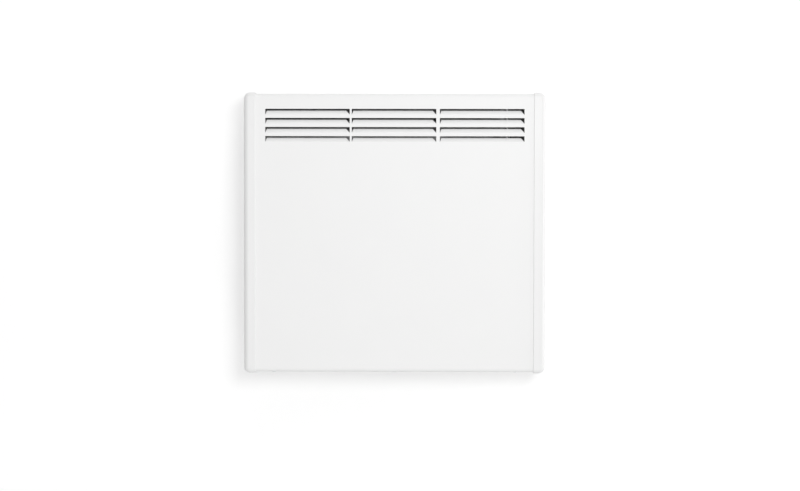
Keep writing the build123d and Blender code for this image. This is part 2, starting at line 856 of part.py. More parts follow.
with BuildPart() as ceramic_bushes:
    for plane in (element_left_plane, element_right_plane):
        seat = plane.offset(-bracket_sheet / 2 - sheet_gap - bush_flange)
        with BuildSketch(seat):
            Circle(bush_flange_radius)
        extrude(amount=bush_flange)
        with BuildSketch(seat.offset(bush_flange)):
            Circle(bush_radius)
        extrude(amount=bush_body)
        with BuildSketch(seat):
            Circle(sheath_radius + sheet_gap)
        extrude(amount=bush_flange + bush_body, mode=Mode.SUBTRACT)
save(ceramic_bushes, "ceramic_bushes")

# ---- Thermal cut-out on the heat shield ----
cutout_seat = Plane.XZ.offset(-shield_face_y + sheet_gap)
with BuildPart() as thermal_cutout:
    with BuildSketch(cutout_seat):
        with Locations((cutout_x, cutout_z)):
            SlotOverall(cutout_ear_length, cutout_ear_width)
        with Locations(*cutout_screw_places):
            Circle(control_screw_radius + sheet_gap, mode=Mode.SUBTRACT)
    extrude(amount=cutout_ear)
    with BuildSketch(cutout_seat):
        with Locations((cutout_x, cutout_z)):
            Circle(cutout_radius)
    extrude(amount=cutout_height)
    chamfer(thermal_cutout.edges().group_by(Axis.Y)[0], length=moulded_edge)
save(thermal_cutout, "thermal_cutout")

with BuildPart() as cutout_screws:
    with Locations(
        *[
            Plane(origin=(x, shield_face_y - sheet_gap - cutout_ear, z), z_dir=(0, -1, 0))
            for x, z in cutout_screw_places
        ]
    ):
        add(small_screw)
save(cutout_screws, "cutout_screws")

# ---- Thermostat: housing, spindle, dial ----
with BuildPart() as thermostat_housing:
    with BuildSketch(Plane.YZ.offset(thermostat_back_x)):
        with Locations((control_y, dial_z)):
            RectangleRounded(thermostat_width, thermostat_height, radius=thermostat_corner)
    extrude(amount=thermostat_depth)
    chamfer(thermostat_housing.edges().group_by(Axis.X)[0], length=moulded_edge)
    with BuildSketch(Plane.YZ.offset(thermostat_front_x)):
        with Locations((control_y, dial_z)):
            Circle(thermostat_nose_radius)
    extrude(amount=recess_floor_x - thermostat_front_x)
    with BuildSketch(Plane.YZ.offset(recess_floor_x)):
        with Locations((control_y, dial_z)):
            Circle(spindle_radius + running_gap)
    extrude(amount=-spindle_bore, mode=Mode.SUBTRACT)
    with BuildSketch(Plane.YZ.offset(thermostat_front_x)):
        with Locations((control_y, dial_z)):
            with GridLocations(2 * control_screw_offset, 1, 2, 1):
                Circle(control_screw_radius + sheet_gap)
    extrude(amount=-control_screw_length, mode=Mode.SUBTRACT)
save(thermostat_housing, "thermostat_housing")

with BuildPart() as control_screws:
    for side in (-control_screw_offset, control_screw_offset):
        head_plane = Plane(origin=(recess_floor_x, control_y + side, dial_z), z_dir=(1, 0, 0))
        with BuildSketch(head_plane):
            Circle(control_screw_head_radius)
        with BuildSketch(head_plane.offset(-control_screw_head)):
            Circle(control_screw_radius)
        loft()
        with BuildSketch(head_plane):
            Circle(control_screw_radius)
        extrude(amount=-control_screw_length)
save(control_screws, "control_screws")

with BuildPart() as thermostat_spindle:
    with BuildSketch(Plane.YZ.offset(recess_floor_x - spindle_root)):
        with Locations((control_y, dial_z)):
            Circle(spindle_radius)
    extrude(amount=spindle_root + spindle_reach)
    with BuildSketch(Plane.YZ.offset(recess_floor_x + dial_floor_gap)):
        with Locations((control_y, dial_z + spindle_flat)):
            Rectangle(3 * spindle_radius, spindle_radius, align=(Align.CENTER, Align.MIN))
    extrude(amount=spindle_reach, mode=Mode.SUBTRACT)
save(thermostat_spindle, "thermostat_spindle")

dial_base_x = recess_floor_x + dial_floor_gap
with BuildPart() as thermostat_dial:
    with BuildSketch(Plane.YZ.offset(dial_base_x)):
        with Locations((control_y, dial_z)):
            Circle(dial_radius)
    extrude(amount=dial_disc)
    chamfer(thermostat_dial.edges().group_by(Axis.X)[-1], length=moulded_edge)
    with BuildSketch(Plane.YZ.offset(dial_base_x + dial_disc)):
        with Locations((control_y, dial_z)):
            SlotOverall(dial_grip_length, dial_grip_width, rotation=90)
    extrude(amount=dial_height - dial_disc, taper=dial_grip_taper)
    chamfer(thermostat_dial.edges().group_by(Axis.X)[-1], length=dial_grip_edge)
    with BuildSketch(Plane.YZ.offset(dial_base_x)):
        with Locations((control_y, dial_z)):
            Circle(spindle_radius + running_gap)
        with Locations((control_y, dial_z + spindle_flat + running_gap)):
            Rectangle(
                3 * spindle_radius,
                spindle_radius,
                align=(Align.CENTER, Align.MIN),
                mode=Mode.SUBTRACT,
            )
    extrude(amount=spindle_reach, mode=Mode.SUBTRACT)
save(thermostat_dial, "thermostat_dial")

# ---- Indicator lens and the lamp behind it ----
with BuildPart() as indicator_lens:
    with BuildSketch(Plane.YZ.offset(recess_floor_x)):
        with Locations((control_y, lamp_z)):
            Circle(lens_head_radius)
    extrude(amount=lens_head)
    chamfer(indicator_lens.edges().group_by(Axis.X)[-1], length=lens_edge)
    with BuildSketch(Plane.YZ.offset(recess_floor_x)):
        with Locations((control_y, lamp_z)):
            Circle(lens_radius)
    extrude(amount=-lens_length)
save(indicator_lens, "indicator_lens")

with BuildPart() as indicator_lamp:
    with BuildSketch(Plane.YZ.offset(recess_floor_x - lens_length - sheet_gap)):
        with Locations((control_y, lamp_z)):
            Circle(lamp_radius)
    extrude(amount=-lamp_length)
    chamfer(indicator_lamp.edges().group_by(Axis.X)[0], length=moulded_edge)
save(indicator_lamp, "indicator_lamp")

# ---- Rocker switch ----
with BuildPart() as switch_housing:
    with BuildSketch(Plane.YZ.offset(recess_floor_x)):
        with Locations((control_y, switch_z)):
            RectangleRounded(
                switch_bezel_width, switch_bezel_height, radius=switch_bezel_radius
            )
    extrude(amount=switch_bezel)
    chamfer(switch_housing.edges().group_by(Axis.X)[-1], length=switch_bezel_edge)
    with BuildSketch(Plane.YZ.offset(recess_floor_x)):
        with Locations((control_y, switch_z)):
            Rectangle(switch_body_width, switch_body_height)
    extrude(amount=-switch_body_depth)
    lug_x = recess_back_x - fit_gap
    lug_root = switch_body_height / 2
    with BuildSketch(Plane.XZ.offset(-control_y - switch_lug_width / 2)):
        with BuildLine():
            Polyline(
                (lug_x, switch_z + lug_root + switch_lug),
                (lug_x - switch_lug_length, switch_z + lug_root),
                (lug_x - switch_lug_length, switch_z - lug_root),
                (lug_x, switch_z - lug_root - switch_lug),
                close=True,
            )
        make_face()
    extrude(amount=switch_lug_width)
    with BuildSketch(Plane.YZ.offset(recess_floor_x + switch_bezel)):
        with Locations((control_y, switch_z)):
            Rectangle(switch_pocket_width, switch_pocket_height)
    extrude(amount=-switch_bezel - switch_pocket_depth, mode=Mode.SUBTRACT)
    with BuildSketch(Plane.XZ.offset(-control_y - switch_body_width / 2)):
        with Locations((rocker_pivot_x, switch_z)):
            Circle(rocker_pin_radius + running_gap)
    extrude(amount=switch_body_width, mode=Mode.SUBTRACT)
save(switch_housing, "switch_housing")

tilt = math.radians(rocker_tilt)
rocker_plane = Plane(
    origin=(rocker_pivot_x, control_y - rocker_half_width, switch_z),
    x_dir=(math.sin(tilt), 0, math.cos(tilt)),
    z_dir=(0, 1, 0),
)
with BuildPart() as switch_rocker:
    with BuildSketch(rocker_plane):
        with BuildLine():
            ThreePointArc(
                (-rocker_half_length, rocker_end_rise),
                (0, rocker_middle_rise),
                (rocker_half_length, rocker_end_rise),
            )
            Polyline(
                (rocker_half_length, rocker_end_rise),
                (rocker_half_length, rocker_shoulder),
                (rocker_root_half, -rocker_root),
                (-rocker_root_half, -rocker_root),
                (-rocker_half_length, rocker_shoulder),
                (-rocker_half_length, rocker_end_rise),
            )
        make_face()
    extrude(amount=2 * rocker_half_width)
    with BuildSketch(rocker_plane.offset(-rocker_pin_reach)):
        Circle(rocker_pin_radius)
    extrude(amount=2 * (rocker_half_width + rocker_pin_reach))
save(switch_rocker, "switch_rocker")

# ---- Terminal block ----
way_x = [
    block_x + (way - (block_ways - 1) / 2) * block_way_pitch for way in range(block_ways)
]
block_screw_places = [
    (x, block_z + side) for x in way_x for side in (-block_screw_offset, block_screw_offset)
]
with BuildPart() as terminal_block:
    with BuildSketch(Plane.XZ.offset(-block_rear_y)):
        with Locations((block_x, block_z)):
            Rectangle(block_width, block_height)
            with GridLocations(block_way_pitch, 1, block_ways - 1, 1):
                Rectangle(block_slit, block_slit_length, mode=Mode.SUBTRACT)
    extrude(amount=block_depth)
    chamfer(terminal_block.edges().group_by(Axis.Y)[0].filter_by(Axis.X), length=block_edge)
    with BuildSketch(Plane.XY.offset(block_top_z)):
        with Locations(*[(x, block_bore_y) for x in way_x]):
            Circle(block_bore_radius)
    extrude(amount=-block_height, mode=Mode.SUBTRACT)
    with BuildSketch(Plane.XZ.offset(-block_front_y)):
        with Locations(*block_screw_places):
            Circle(block_screw_radius + sheet_gap)
    extrude(amount=block_front_y - block_bore_y, mode=Mode.SUBTRACT)
save(terminal_block, "terminal_block")

with BuildPart() as terminal_screws:
    with BuildSketch(Plane.XZ.offset(-block_front_y)):
        with Locations(*block_screw_places):
            Circle(block_screw_radius)
    extrude(amount=block_front_y + block_bore_radius - block_bore_y + sheet_gap)
save(terminal_screws, "terminal_screws")

# ---- Cable gland and its nut: the cord's inlet ----
gland_plane = Plane(origin=(gland_x, rear_y + sheet_gap, gland_z), z_dir=(0, 1, 0))
with BuildPart() as cable_gland:
    with BuildSketch(gland_plane):
        Circle(gland_flange_radius)
    extrude(amount=gland_flange)
    chamfer(cable_gland.edges().group_by(Axis.Y)[-1], length=moulded_edge)
    with BuildSketch(gland_plane):
        Circle(gland_radius)
    extrude(amount=-gland_body)
    with BuildSketch(gland_plane.offset(gland_flange)):
        Circle(gland_bore_radius)
    extrude(amount=-gland_flange - gland_body, mode=Mode.SUBTRACT)
save(cable_gland, "cable_gland")

with BuildPart() as gland_nut_piece:
    with BuildSketch(Plane.XZ.offset(-rear_inside_y + sheet_gap)):
        with Locations((gland_x, gland_z)):
            RegularPolygon(gland_nut_across / 2, 6, major_radius=False)
            Circle(gland_radius + sheet_gap, mode=Mode.SUBTRACT)
    extrude(amount=gland_nut)
save(gland_nut_piece, "gland_nut")

# ---- Earth screw, lug ----
lug_face_y = rear_inside_y - sheet_gap - lug_thickness
with BuildPart() as earth_lug:
    with BuildSketch(Plane.XZ.offset(-rear_inside_y + sheet_gap)):
        with Locations((earth_x, earth_z)):
            Circle(lug_radius)
            Rectangle(
                2 * lug_barrel_radius,
                lug_radius + lug_barrel_length,
                align=(Align.CENTER, Align.MAX),
            )
            Circle(screw_radius + screw_hole_gap, mode=Mode.SUBTRACT)
    extrude(amount=lug_thickness)
    with BuildSketch(Plane.XY.offset(earth_z - lug_radius - lug_barrel_length)):
        with Locations((earth_x, lug_face_y + lug_thickness - lug_barrel_radius)):
            Circle(lug_barrel_radius)
            Circle(lead_radius + sheet_gap, mode=Mode.SUBTRACT)
    extrude(amount=lug_barrel_length)
save(earth_lug, "earth_lug")

with BuildPart() as earth_screw:
    with Locations(Plane(origin=(earth_x, lug_face_y - sheet_gap, earth_z), z_dir=(0, -1, 0))):
        add(headed_fastener(screw_radius, screw_head_radius, screw_head, earth_screw_length))
save(earth_screw, "earth_screw")

# ---- Spade terminals on the switch, the thermostat and the cut-out ----
cutout_tab_y = shield_face_y - sheet_gap - cutout_height - tab_thickness / 2
with BuildPart() as spade_terminals:
    for back_x, z, offset_z in (
        (switch_back_x, switch_z, switch_tab_offset),
        (thermostat_back_x, dial_z, thermostat_tab_offset),
    ):
        with BuildSketch(Plane.YZ.offset(back_x)):
            with Locations((control_y, z)):
                with GridLocations(1, 2 * offset_z, 1, 2):
                    Rectangle(tab_width, tab_thickness)
        extrude(amount=-tab_length)
    with BuildSketch(Plane.XZ.offset(-cutout_tab_y - tab_thickness / 2)):
        for side in (-1, 1):
            with Locations((cutout_x + side * (cutout_tab_start + tab_length / 2), cutout_z)):
                Rectangle(tab_length, tab_width)
    extrude(amount=tab_thickness)
save(spade_terminals, "spade_terminals")

# ---- Internal leads, from terminal to terminal ----
lead_start_z = block_top_z - lead_entry
switch_tab_x = switch_back_x - tab_length - sheet_gap
switch_loop_x = switch_tab_x - lead_loop
switch_low_z = switch_z - switch_tab_offset
switch_high_z = switch_z + switch_tab_offset
thermostat_tab_x = thermostat_back_x - tab_length - sheet_gap
thermostat_low_z = dial_z - thermostat_tab_offset
thermostat_high_z = dial_z + thermostat_tab_offset
riser_x = partition_x + riser_gap
riser_y = control_y + riser_shift
duct_lead_x = partition_x - duct_lead_gap
grommet_lead_z = grommet_z + grommet_lead_offset
cutout_tab_x = cutout_tab_start + tab_length + sheet_gap
left_pin_x = element_ends_x[0] - sheath_overhang - pin_length - sheet_gap
right_pin_x = element_ends_x[1] + sheath_overhang + pin_length + sheet_gap
pin_loop_x = left_pin_x - pin_loop
lug_barrel_y = lug_face_y + lug_thickness - lug_barrel_radius
lug_barrel_z = earth_z - lug_radius - lug_barrel_length

leads = {
    "lead_live": (
        [
            (way_x[2], block_bore_y, lead_start_z),
            (way_x[2], block_bore_y, switch_low_z - lead_sweep),
            (switch_loop_x, control_y, switch_low_z - lead_rise),
            (switch_loop_x, control_y, switch_low_z),
            (switch_tab_x, control_y, switch_low_z),
        ],
        [lead_curve, lead_curve, lead_bend],
    ),
    "lead_switch_thermostat": (
        [
            (switch_tab_x, control_y, switch_high_z),
            (riser_x, control_y, switch_high_z),
            (riser_x, control_y, thermostat_low_z),
            (thermostat_tab_x, control_y, thermostat_low_z),
        ],
        [lead_bend, lead_bend],
    ),
    "lead_thermostat_cutout": (
        [
            (thermostat_tab_x, control_y, thermostat_high_z),
            (riser_x, control_y, thermostat_high_z),
            (riser_x, riser_y, thermostat_high_z - lead_rise),
            (riser_x, riser_y, grommet_lead_z + lead_rise),
            (riser_x, element_y, grommet_lead_z),
            (duct_lead_x, element_y, grommet_lead_z),
            (duct_lead_x, cutout_tab_y, cutout_z),
            (cutout_x + cutout_tab_x, cutout_tab_y, cutout_z),
        ],
        [lead_bend, lead_curve, lead_curve, lead_bend, lead_bend, lead_curve],
    ),
    "lead_cutout_element": (
        [
            (cutout_x - cutout_tab_x, cutout_tab_y, cutout_z),
            (cutout_x - cutout_lead_run, cutout_tab_y, cutout_z),
            (cutout_x - cutout_lead_fall, clip_lead_y, cutout_z),
            (pin_loop_x, clip_lead_y, cutout_z),
            (pin_loop_x, element_y, element_z),
            (left_pin_x, element_y, element_z),
        ],
        [lead_curve, lead_curve, lead_curve, pin_bend],
    ),
    "lead_neutral": (
        [
            (way_x[0], block_bore_y, lead_start_z),
            (way_x[0], block_bore_y, element_z),
            (way_x[0], element_y, element_z),
            (right_pin_x, element_y, element_z),
        ],
        [lead_bend, lead_bend],
    ),
    "lead_earth": (
        [
            (way_x[1], block_bore_y, lead_start_z),
            (way_x[1], block_bore_y, block_top_z + earth_lead_rise),
            (earth_x, lug_barrel_y, earth_z - earth_lead_drop),
            (earth_x, lug_barrel_y, lug_barrel_z + lead_entry),
        ],
        [lead_curve, lead_curve],
    ),
}
for lead_name, (lead_points, lead_bends) in leads.items():
    with BuildPart() as lead:
        add(wire_along(lead_points, lead_radius, lead_bends))
    save(lead, lead_name)

clip_first_x = element_ends_x[0] + clip_start
clip_last_x = cutout_x - cutout_lead_fall - clip_end
with BuildPart() as lead_clips:
    for clip in range(clip_count):
        clip_x = clip_first_x + clip * (clip_last_x - clip_first_x) / (clip_count - 1)
        with BuildSketch(Plane.YZ.offset(clip_x - clip_width / 2)):
            with Locations((clip_lead_y, cutout_z)):
                Circle(lead_radius + fit_gap + clip_wall)
                Circle(lead_radius + fit_gap, mode=Mode.SUBTRACT)
        extrude(amount=clip_width)
save(lead_clips, "lead_clips")

# ---- Thermostat's sensor: bulb, clip and capillary ----
with BuildPart() as sensor_bulb:
    with BuildSketch(Plane.XY.offset(bulb_z)):
        with Locations((bulb_x, bulb_y)):
            Circle(bulb_radius)
    extrude(amount=-bulb_length)
    chamfer(sensor_bulb.edges().group_by(Axis.Z)[0], length=moulded_edge)
save(sensor_bulb, "sensor_bulb")

with BuildPart() as bulb_clip:
    with BuildSketch(Plane.XY.offset(bulb_z - bulb_length / 2)):
        with Locations((bulb_x, bulb_y)):
            Circle(bulb_radius + sheet_gap + clip_wall)
            Circle(bulb_radius + sheet_gap, mode=Mode.SUBTRACT)
    extrude(amount=bulb_clip_length)
save(bulb_clip, "bulb_clip")

capillary_x = thermostat_front_x - capillary_inset
capillary_y = control_y - capillary_side
capillary_top_z = dial_z - thermostat_height / 2
with BuildPart() as capillary_tube:
    add(
        wire_along(
            [
                (capillary_x, capillary_y, capillary_top_z),
                (capillary_x, capillary_y, capillary_top_z - capillary_drop),
                (bulb_x, bulb_y, bulb_z + capillary_rise),
                (bulb_x, bulb_y, bulb_z),
            ],
            capillary_radius,
            capillary_curve,
        )
    )
save(capillary_tube, "capillary_tube")

# ---- Wall bracket: a shallow pressed channel with four hooks ----
lug_front = wall_gap - hang_gap
tip_back = wall_gap + sheet + hang_gap
tip_front = tip_back + hook_tip_width
with BuildPart() as wall_bracket:
    with BuildSketch(Plane.XY.offset(-bracket_half_rise)):
        with BuildLine():
            FilletPolyline(
                (-hook_x, -bracket_flange),
                (-hook_x, -bracket_steel / 2),
                (hook_x, -bracket_steel / 2),
                (hook_x, -bracket_flange),
                radius=bracket_bend_radius - bracket_steel / 2,
            )
        trace(line_width=bracket_steel)
    extrude(amount=2 * bracket_half_rise)
    with BuildSketch(Plane.XZ):
        RectangleRounded(
            2 * (bracket_half_span - window_side_margin),
            2 * (bracket_half_rise - window_end_margin),
            radius=window_radius,
        )
        with GridLocations(2 * fixing_x, 2 * fixing_z, 2, 2):
            SlotOverall(fixing_slot_length, fixing_slot_width)
    extrude(amount=bracket_steel, mode=Mode.SUBTRACT)
    for side in (-1, 1):
        with BuildSketch(Plane.YZ.offset(side * hook_x - bracket_steel / 2)):
            for z in hook_z:
                with BuildLine():
                    Polyline(
                        (-bracket_flange / 2, z - hook_arm - hook_lug_below - hook_lug_slope),
                        (-lug_front, z - hook_arm - hook_lug_below),
                        (-lug_front, z - hook_arm),
                        (-tip_front, z - hook_arm),
                        (-tip_front, z + hook_tip - hook_tip_slope),
                        (-tip_back - hook_tip_flat, z + hook_tip),
                        (-tip_back, z + hook_tip),
                        (-tip_back, z),
                        (-lug_front, z),
                        (-lug_front, z + hook_lug_above),
                        (-bracket_flange / 2, z + hook_lug_above + hook_lug_slope),
                        close=True,
                    )
                make_face()
        extrude(amount=bracket_steel)
save(wall_bracket, "wall_bracket")
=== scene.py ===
import json
import math

import bpy
from mathutils import Matrix, Vector


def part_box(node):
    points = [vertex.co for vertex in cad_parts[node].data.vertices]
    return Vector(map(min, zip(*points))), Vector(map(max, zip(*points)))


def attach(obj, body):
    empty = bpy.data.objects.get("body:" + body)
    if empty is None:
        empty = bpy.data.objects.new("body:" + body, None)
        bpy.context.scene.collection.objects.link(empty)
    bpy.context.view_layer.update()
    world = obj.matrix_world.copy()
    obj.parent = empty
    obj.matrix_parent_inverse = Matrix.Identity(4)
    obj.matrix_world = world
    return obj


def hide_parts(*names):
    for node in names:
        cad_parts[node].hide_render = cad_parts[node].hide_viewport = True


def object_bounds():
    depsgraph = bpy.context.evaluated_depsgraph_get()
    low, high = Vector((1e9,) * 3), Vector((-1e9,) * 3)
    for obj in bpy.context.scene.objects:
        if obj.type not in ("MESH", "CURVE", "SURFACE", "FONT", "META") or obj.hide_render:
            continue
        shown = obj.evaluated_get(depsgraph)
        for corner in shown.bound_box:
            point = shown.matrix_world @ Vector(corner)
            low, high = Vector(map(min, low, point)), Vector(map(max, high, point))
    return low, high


bl_info = {
    "name": "Panel Heater Looks",
    "version": (1, 0, 0),
    "blender": (4, 5, 0),
    "location": "3D View > Sidebar > Heater",
    "description": "Finishes, marks and small fittings for a wall panel heater",
    "category": "Object",
}

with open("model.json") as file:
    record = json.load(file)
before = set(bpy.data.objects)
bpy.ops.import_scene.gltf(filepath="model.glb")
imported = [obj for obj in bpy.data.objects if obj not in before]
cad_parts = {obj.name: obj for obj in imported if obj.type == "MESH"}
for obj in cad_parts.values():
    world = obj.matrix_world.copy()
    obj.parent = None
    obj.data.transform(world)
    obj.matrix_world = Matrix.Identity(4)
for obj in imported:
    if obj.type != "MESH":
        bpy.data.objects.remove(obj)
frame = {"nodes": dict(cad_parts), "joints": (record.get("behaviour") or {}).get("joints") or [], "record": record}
cad_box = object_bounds()

BODY_OF = {
    node: body
    for body, nodes in frame["record"]["behaviour"]["bodies"].items()
    for node in nodes
}
SLOT_OF = {part["node"]: part["material_slot"] for part in frame["record"]["subparts"]}
JOINT_OF = {joint["child"]: joint for joint in frame["joints"]}
MM = 0.001

# How near two places count as one.
CLOSE = 0.01 * MM

# Axes of a face that looks to the heater's right: text runs towards the wall and stands up.
FACING_RIGHT = Matrix(((0, 0, 1), (1, 0, 0), (0, 1, 0)))


def axis_turn(direction):
    """The rotation that brings +Z round to a direction."""
    return Vector((0, 0, 1)).rotation_difference(Vector(direction)).to_matrix()


def middle(node):
    """The middle of a frame node's box."""
    low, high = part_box(node)
    return (low + high) / 2


def seat_in(low, high, axis, level):
    """The middle of a box, moved along one axis to a level."""
    place = (low + high) / 2
    place[axis] = level
    return place


# ---- Sizes and colours that a user would change ----


def colour(name, description, default):
    """A colour property in linear values."""
    return bpy.props.FloatVectorProperty(
        name=name, description=description, subtype="COLOR", size=3, min=0, max=1, default=default
    )


def length(name, description, millimetres):
    """A length property, whose default is given in millimetres."""
    return bpy.props.FloatProperty(
        name=name,
        description=description,
        default=millimetres * MM,
        min=0,
        precision=5,
        subtype="DISTANCE",
        unit="LENGTH",
    )


def turn(name, description, degrees):
    """An angle property, whose default is given in degrees."""
    return bpy.props.FloatProperty(
        name=name, description=description, default=math.radians(degrees), subtype="ANGLE"
    )


def amount(name, description, default):
    """A plain number that is never negative."""
    return bpy.props.FloatProperty(name=name, description=description, default=default, min=0)


class HeaterColours(bpy.types.PropertyGroup):
    """Colours of the heater's paint, mouldings and marks."""

    panel: colour("Front panel", "Powder coat of the front panel", (0.872, 0.872, 0.87))
    # Dark grey of the panels' inner side: partly a priming coat, partly painted shade that keeps the louvre slits
    # dark.
    primer: colour("Primer", "Thin primer on the inner side of the panels", (0.3, 0.3, 0.3))
    rear: colour("Rear panel", "Thin powder coat of the back and the grille", (0.8, 0.8, 0.79))
    caps: colour("End caps", "Moulded plastic of the end caps", (0.852, 0.852, 0.85))
    dial: colour("Dial", "Moulded plastic of the thermostat dial", (0.8, 0.8, 0.79))
    rocker: colour("Rocker", "Moulded plastic of the switch", (0.035, 0.035, 0.037))
    lens: colour("Lens", "Clear red plastic of the indicator", (0.62, 0.02, 0.012))
    ink: colour("Ink", "Printed numbers and the dial's line", (0.09, 0.09, 0.1))
    pale_ink: colour("Pale ink", "Marks on the rocker", (0.82, 0.82, 0.81))


class HeaterGrain(bpy.types.PropertyGroup):
    """Real sizes of the surface texture."""

    peel: length("Orange peel", "Width of the paint's ripples", 1.3)
    peel_depth: length("Orange peel depth", "Height of the paint's ripples", 0.004)
    spark: length("Mould grain", "Width of the grain on plastic", 0.45)
    spark_depth: length("Mould grain depth", "Height of the grain on plastic", 0.006)
    spangle: length("Spangle", "Width of the crystals on galvanised steel", 4.5)


class HeaterFittings(bpy.types.PropertyGroup):
    """Sizes of the small fittings."""

    recess_width: length("Recess width", "Width of a screw's cross recess", 0.85)
    recess_depth: length("Recess depth", "Depth of a screw's cross recess", 1.3)
    slot_width: length("Slot width", "Width of a terminal screw's slot", 0.6)
    slot_depth: length("Slot depth", "Depth of a terminal screw's slot", 0.8)
    flute_depth: length("Flute depth", "Depth of the flutes round the dial", 0.35)
    lens_dome: length("Lens dome", "How far the lens is domed", 0.9)
    rivet_head: length("Rivet head", "Height of a rivet's flat dome", 0.8)


class HeaterMarks(bpy.types.PropertyGroup):
    """Sizes of the marks on the controls."""

    ring_radius: length("Number ring", "Dial's axis to the middle of a number", 17.6)
    digit_height: length("Number height", "Height of the numbers round the dial", 3.6)
    tick_length: length("Tick length", "Length of the marks between the numbers", 1.3)
    tick_width: length("Tick width", "Width of the marks between the numbers", 0.35)
    line_width: length("Dial line", "Width of the line on the dial's grip", 1.1)
    line_length: length("Dial line length", "Length of the line on the dial's grip", 7.0)
    ink_height: length("Ink height", "How far a printed mark stands up", 0.06)
    rocker_height: length("Rocker mark", "Height of the marks on the rocker", 3.4)


class HeaterStudio(bpy.types.PropertyGroup):
    """The camera, the lamps and the wall."""

    distance: length("Distance", "Camera to the front panel", 3000)
    view_width: length("View width", "Width that the camera sees at the front panel", 1138)
    yaw: turn("Yaw", "Camera's angle to the right of the heater", 0.7)
    pitch: turn("Pitch", "Camera's angle above the heater", 2.1)
    roll: turn("Roll", "Camera's turn about its line of sight", 0.08)
    aim_right: length("Aim right", "Line of sight to the right of the heater's middle", 8.0)
    aim_down: length("Aim down", "Line of sight below the heater's middle", 17.4)
    key_power: amount("Key lamp", "Power in watts of the lamp up on the right", 16.5)
    side_power: amount("Side lamp", "Power in watts of the lamp beside the heater", 20.5)
    top_power: amount("Top lamp", "Power in watts of the lamp overhead", 12.0)
    front_power: amount("Front lamp", "Power in watts of the lamp in front", 18.0)
    under_power: amount("Under lamp", "Power in watts of the lamp low in front", 9.4)
    back_power: amount("Back lamp", "Power in watts of the lamp that lights the back", 35.0)
    fill: amount("Fill", "Brightness of the plain room all round", 0.493)
    wall_lift: amount("Wall lift", "Brightness that the camera alone sees on the wall", 0.114)
    wall_gap: length("Wall gap", "Wall to the back of the bracket", 0.5)
    floor_lift: amount("Floor lift", "Brightness that the camera alone sees on the floor", 0.3)
    floor_drop: length("Floor drop", "Heater's middle to the floor", 750)


class HeaterLooks(bpy.types.PropertyGroup):
    """Everything that the panel in the sidebar sets."""

    colours: bpy.props.PointerProperty(type=HeaterColours)
    grain: bpy.props.PointerProperty(type=HeaterGrain)
    fittings: bpy.props.PointerProperty(type=HeaterFittings)
    marks: bpy.props.PointerProperty(type=HeaterMarks)
    studio: bpy.props.PointerProperty(type=HeaterStudio)


# ---- Materials ----


class Number:
    """A number that changes over a surface, for use in plain expressions."""

    def __init__(self, tree, socket):
        self.tree = tree
        self.socket = socket

    def __add__(self, other):
        return self.tree.maths("ADD", self, other)

    def __radd__(self, other):
        return self.tree.maths("ADD", other, self)

    def __sub__(self, other):
        return self.tree.maths("SUBTRACT", self, other)

    def __rsub__(self, other):
        return self.tree.maths("SUBTRACT", other, self)

    def __mul__(self, other):
        return self.tree.maths("MULTIPLY", self, other)

    def __rmul__(self, other):
        return self.tree.maths("MULTIPLY", other, self)

    def __pow__(self, other):
        return self.tree.maths("POWER", self, other)

    def over(self, limit):
        """1 where the number is above a limit, and 0 elsewhere."""
        return self.tree.maths("GREATER_THAN", self, limit)

    def sine(self):
        """The sine of the number."""
        return self.tree.maths("SINE", self)

    def between(self, low, high):
        """0 at low and 1 at high, with soft ends."""
        node = self.tree.node(
            "MapRange",
            {"interpolation_type": "SMOOTHSTEP"},
            {"Value": self, "From Min": low, "From Max": high},
        )
        return Number(self.tree, node.outputs["Result"])


class Tree:
    """The shader nodes of a material or of the world."""

    def __init__(self, owner):
        owner.use_nodes = True
        self.tree = owner.node_tree
        self.tree.nodes.clear()

    def node(self, kind, settings=None, sockets=None):
        """A node of that kind, with its settings chosen before its sockets are filled."""
        node = self.tree.nodes.new("ShaderNode" + kind)
        for name, value in (settings or {}).items():
            setattr(node, name, value)
        for name, value in (sockets or {}).items():
            self.put(node.inputs[name], value)
        return node

    def put(self, socket, value):
        """Set a socket to a value, or link it to what varies."""
        if isinstance(value, Number):
            value = value.socket
        if isinstance(value, bpy.types.NodeSocket):
            self.tree.links.new(value, socket)
        elif hasattr(value, "__len__") and socket.type == "RGBA" and len(value) == 3:
            socket.default_value = (*value, 1)
        else:
            socket.default_value = value

    def maths(self, operation, first, second=0.0):
        """One step of arithmetic on numbers."""
        node = self.node("Math", {"operation": operation}, {0: first, 1: second})
        return Number(self, node.outputs[0])


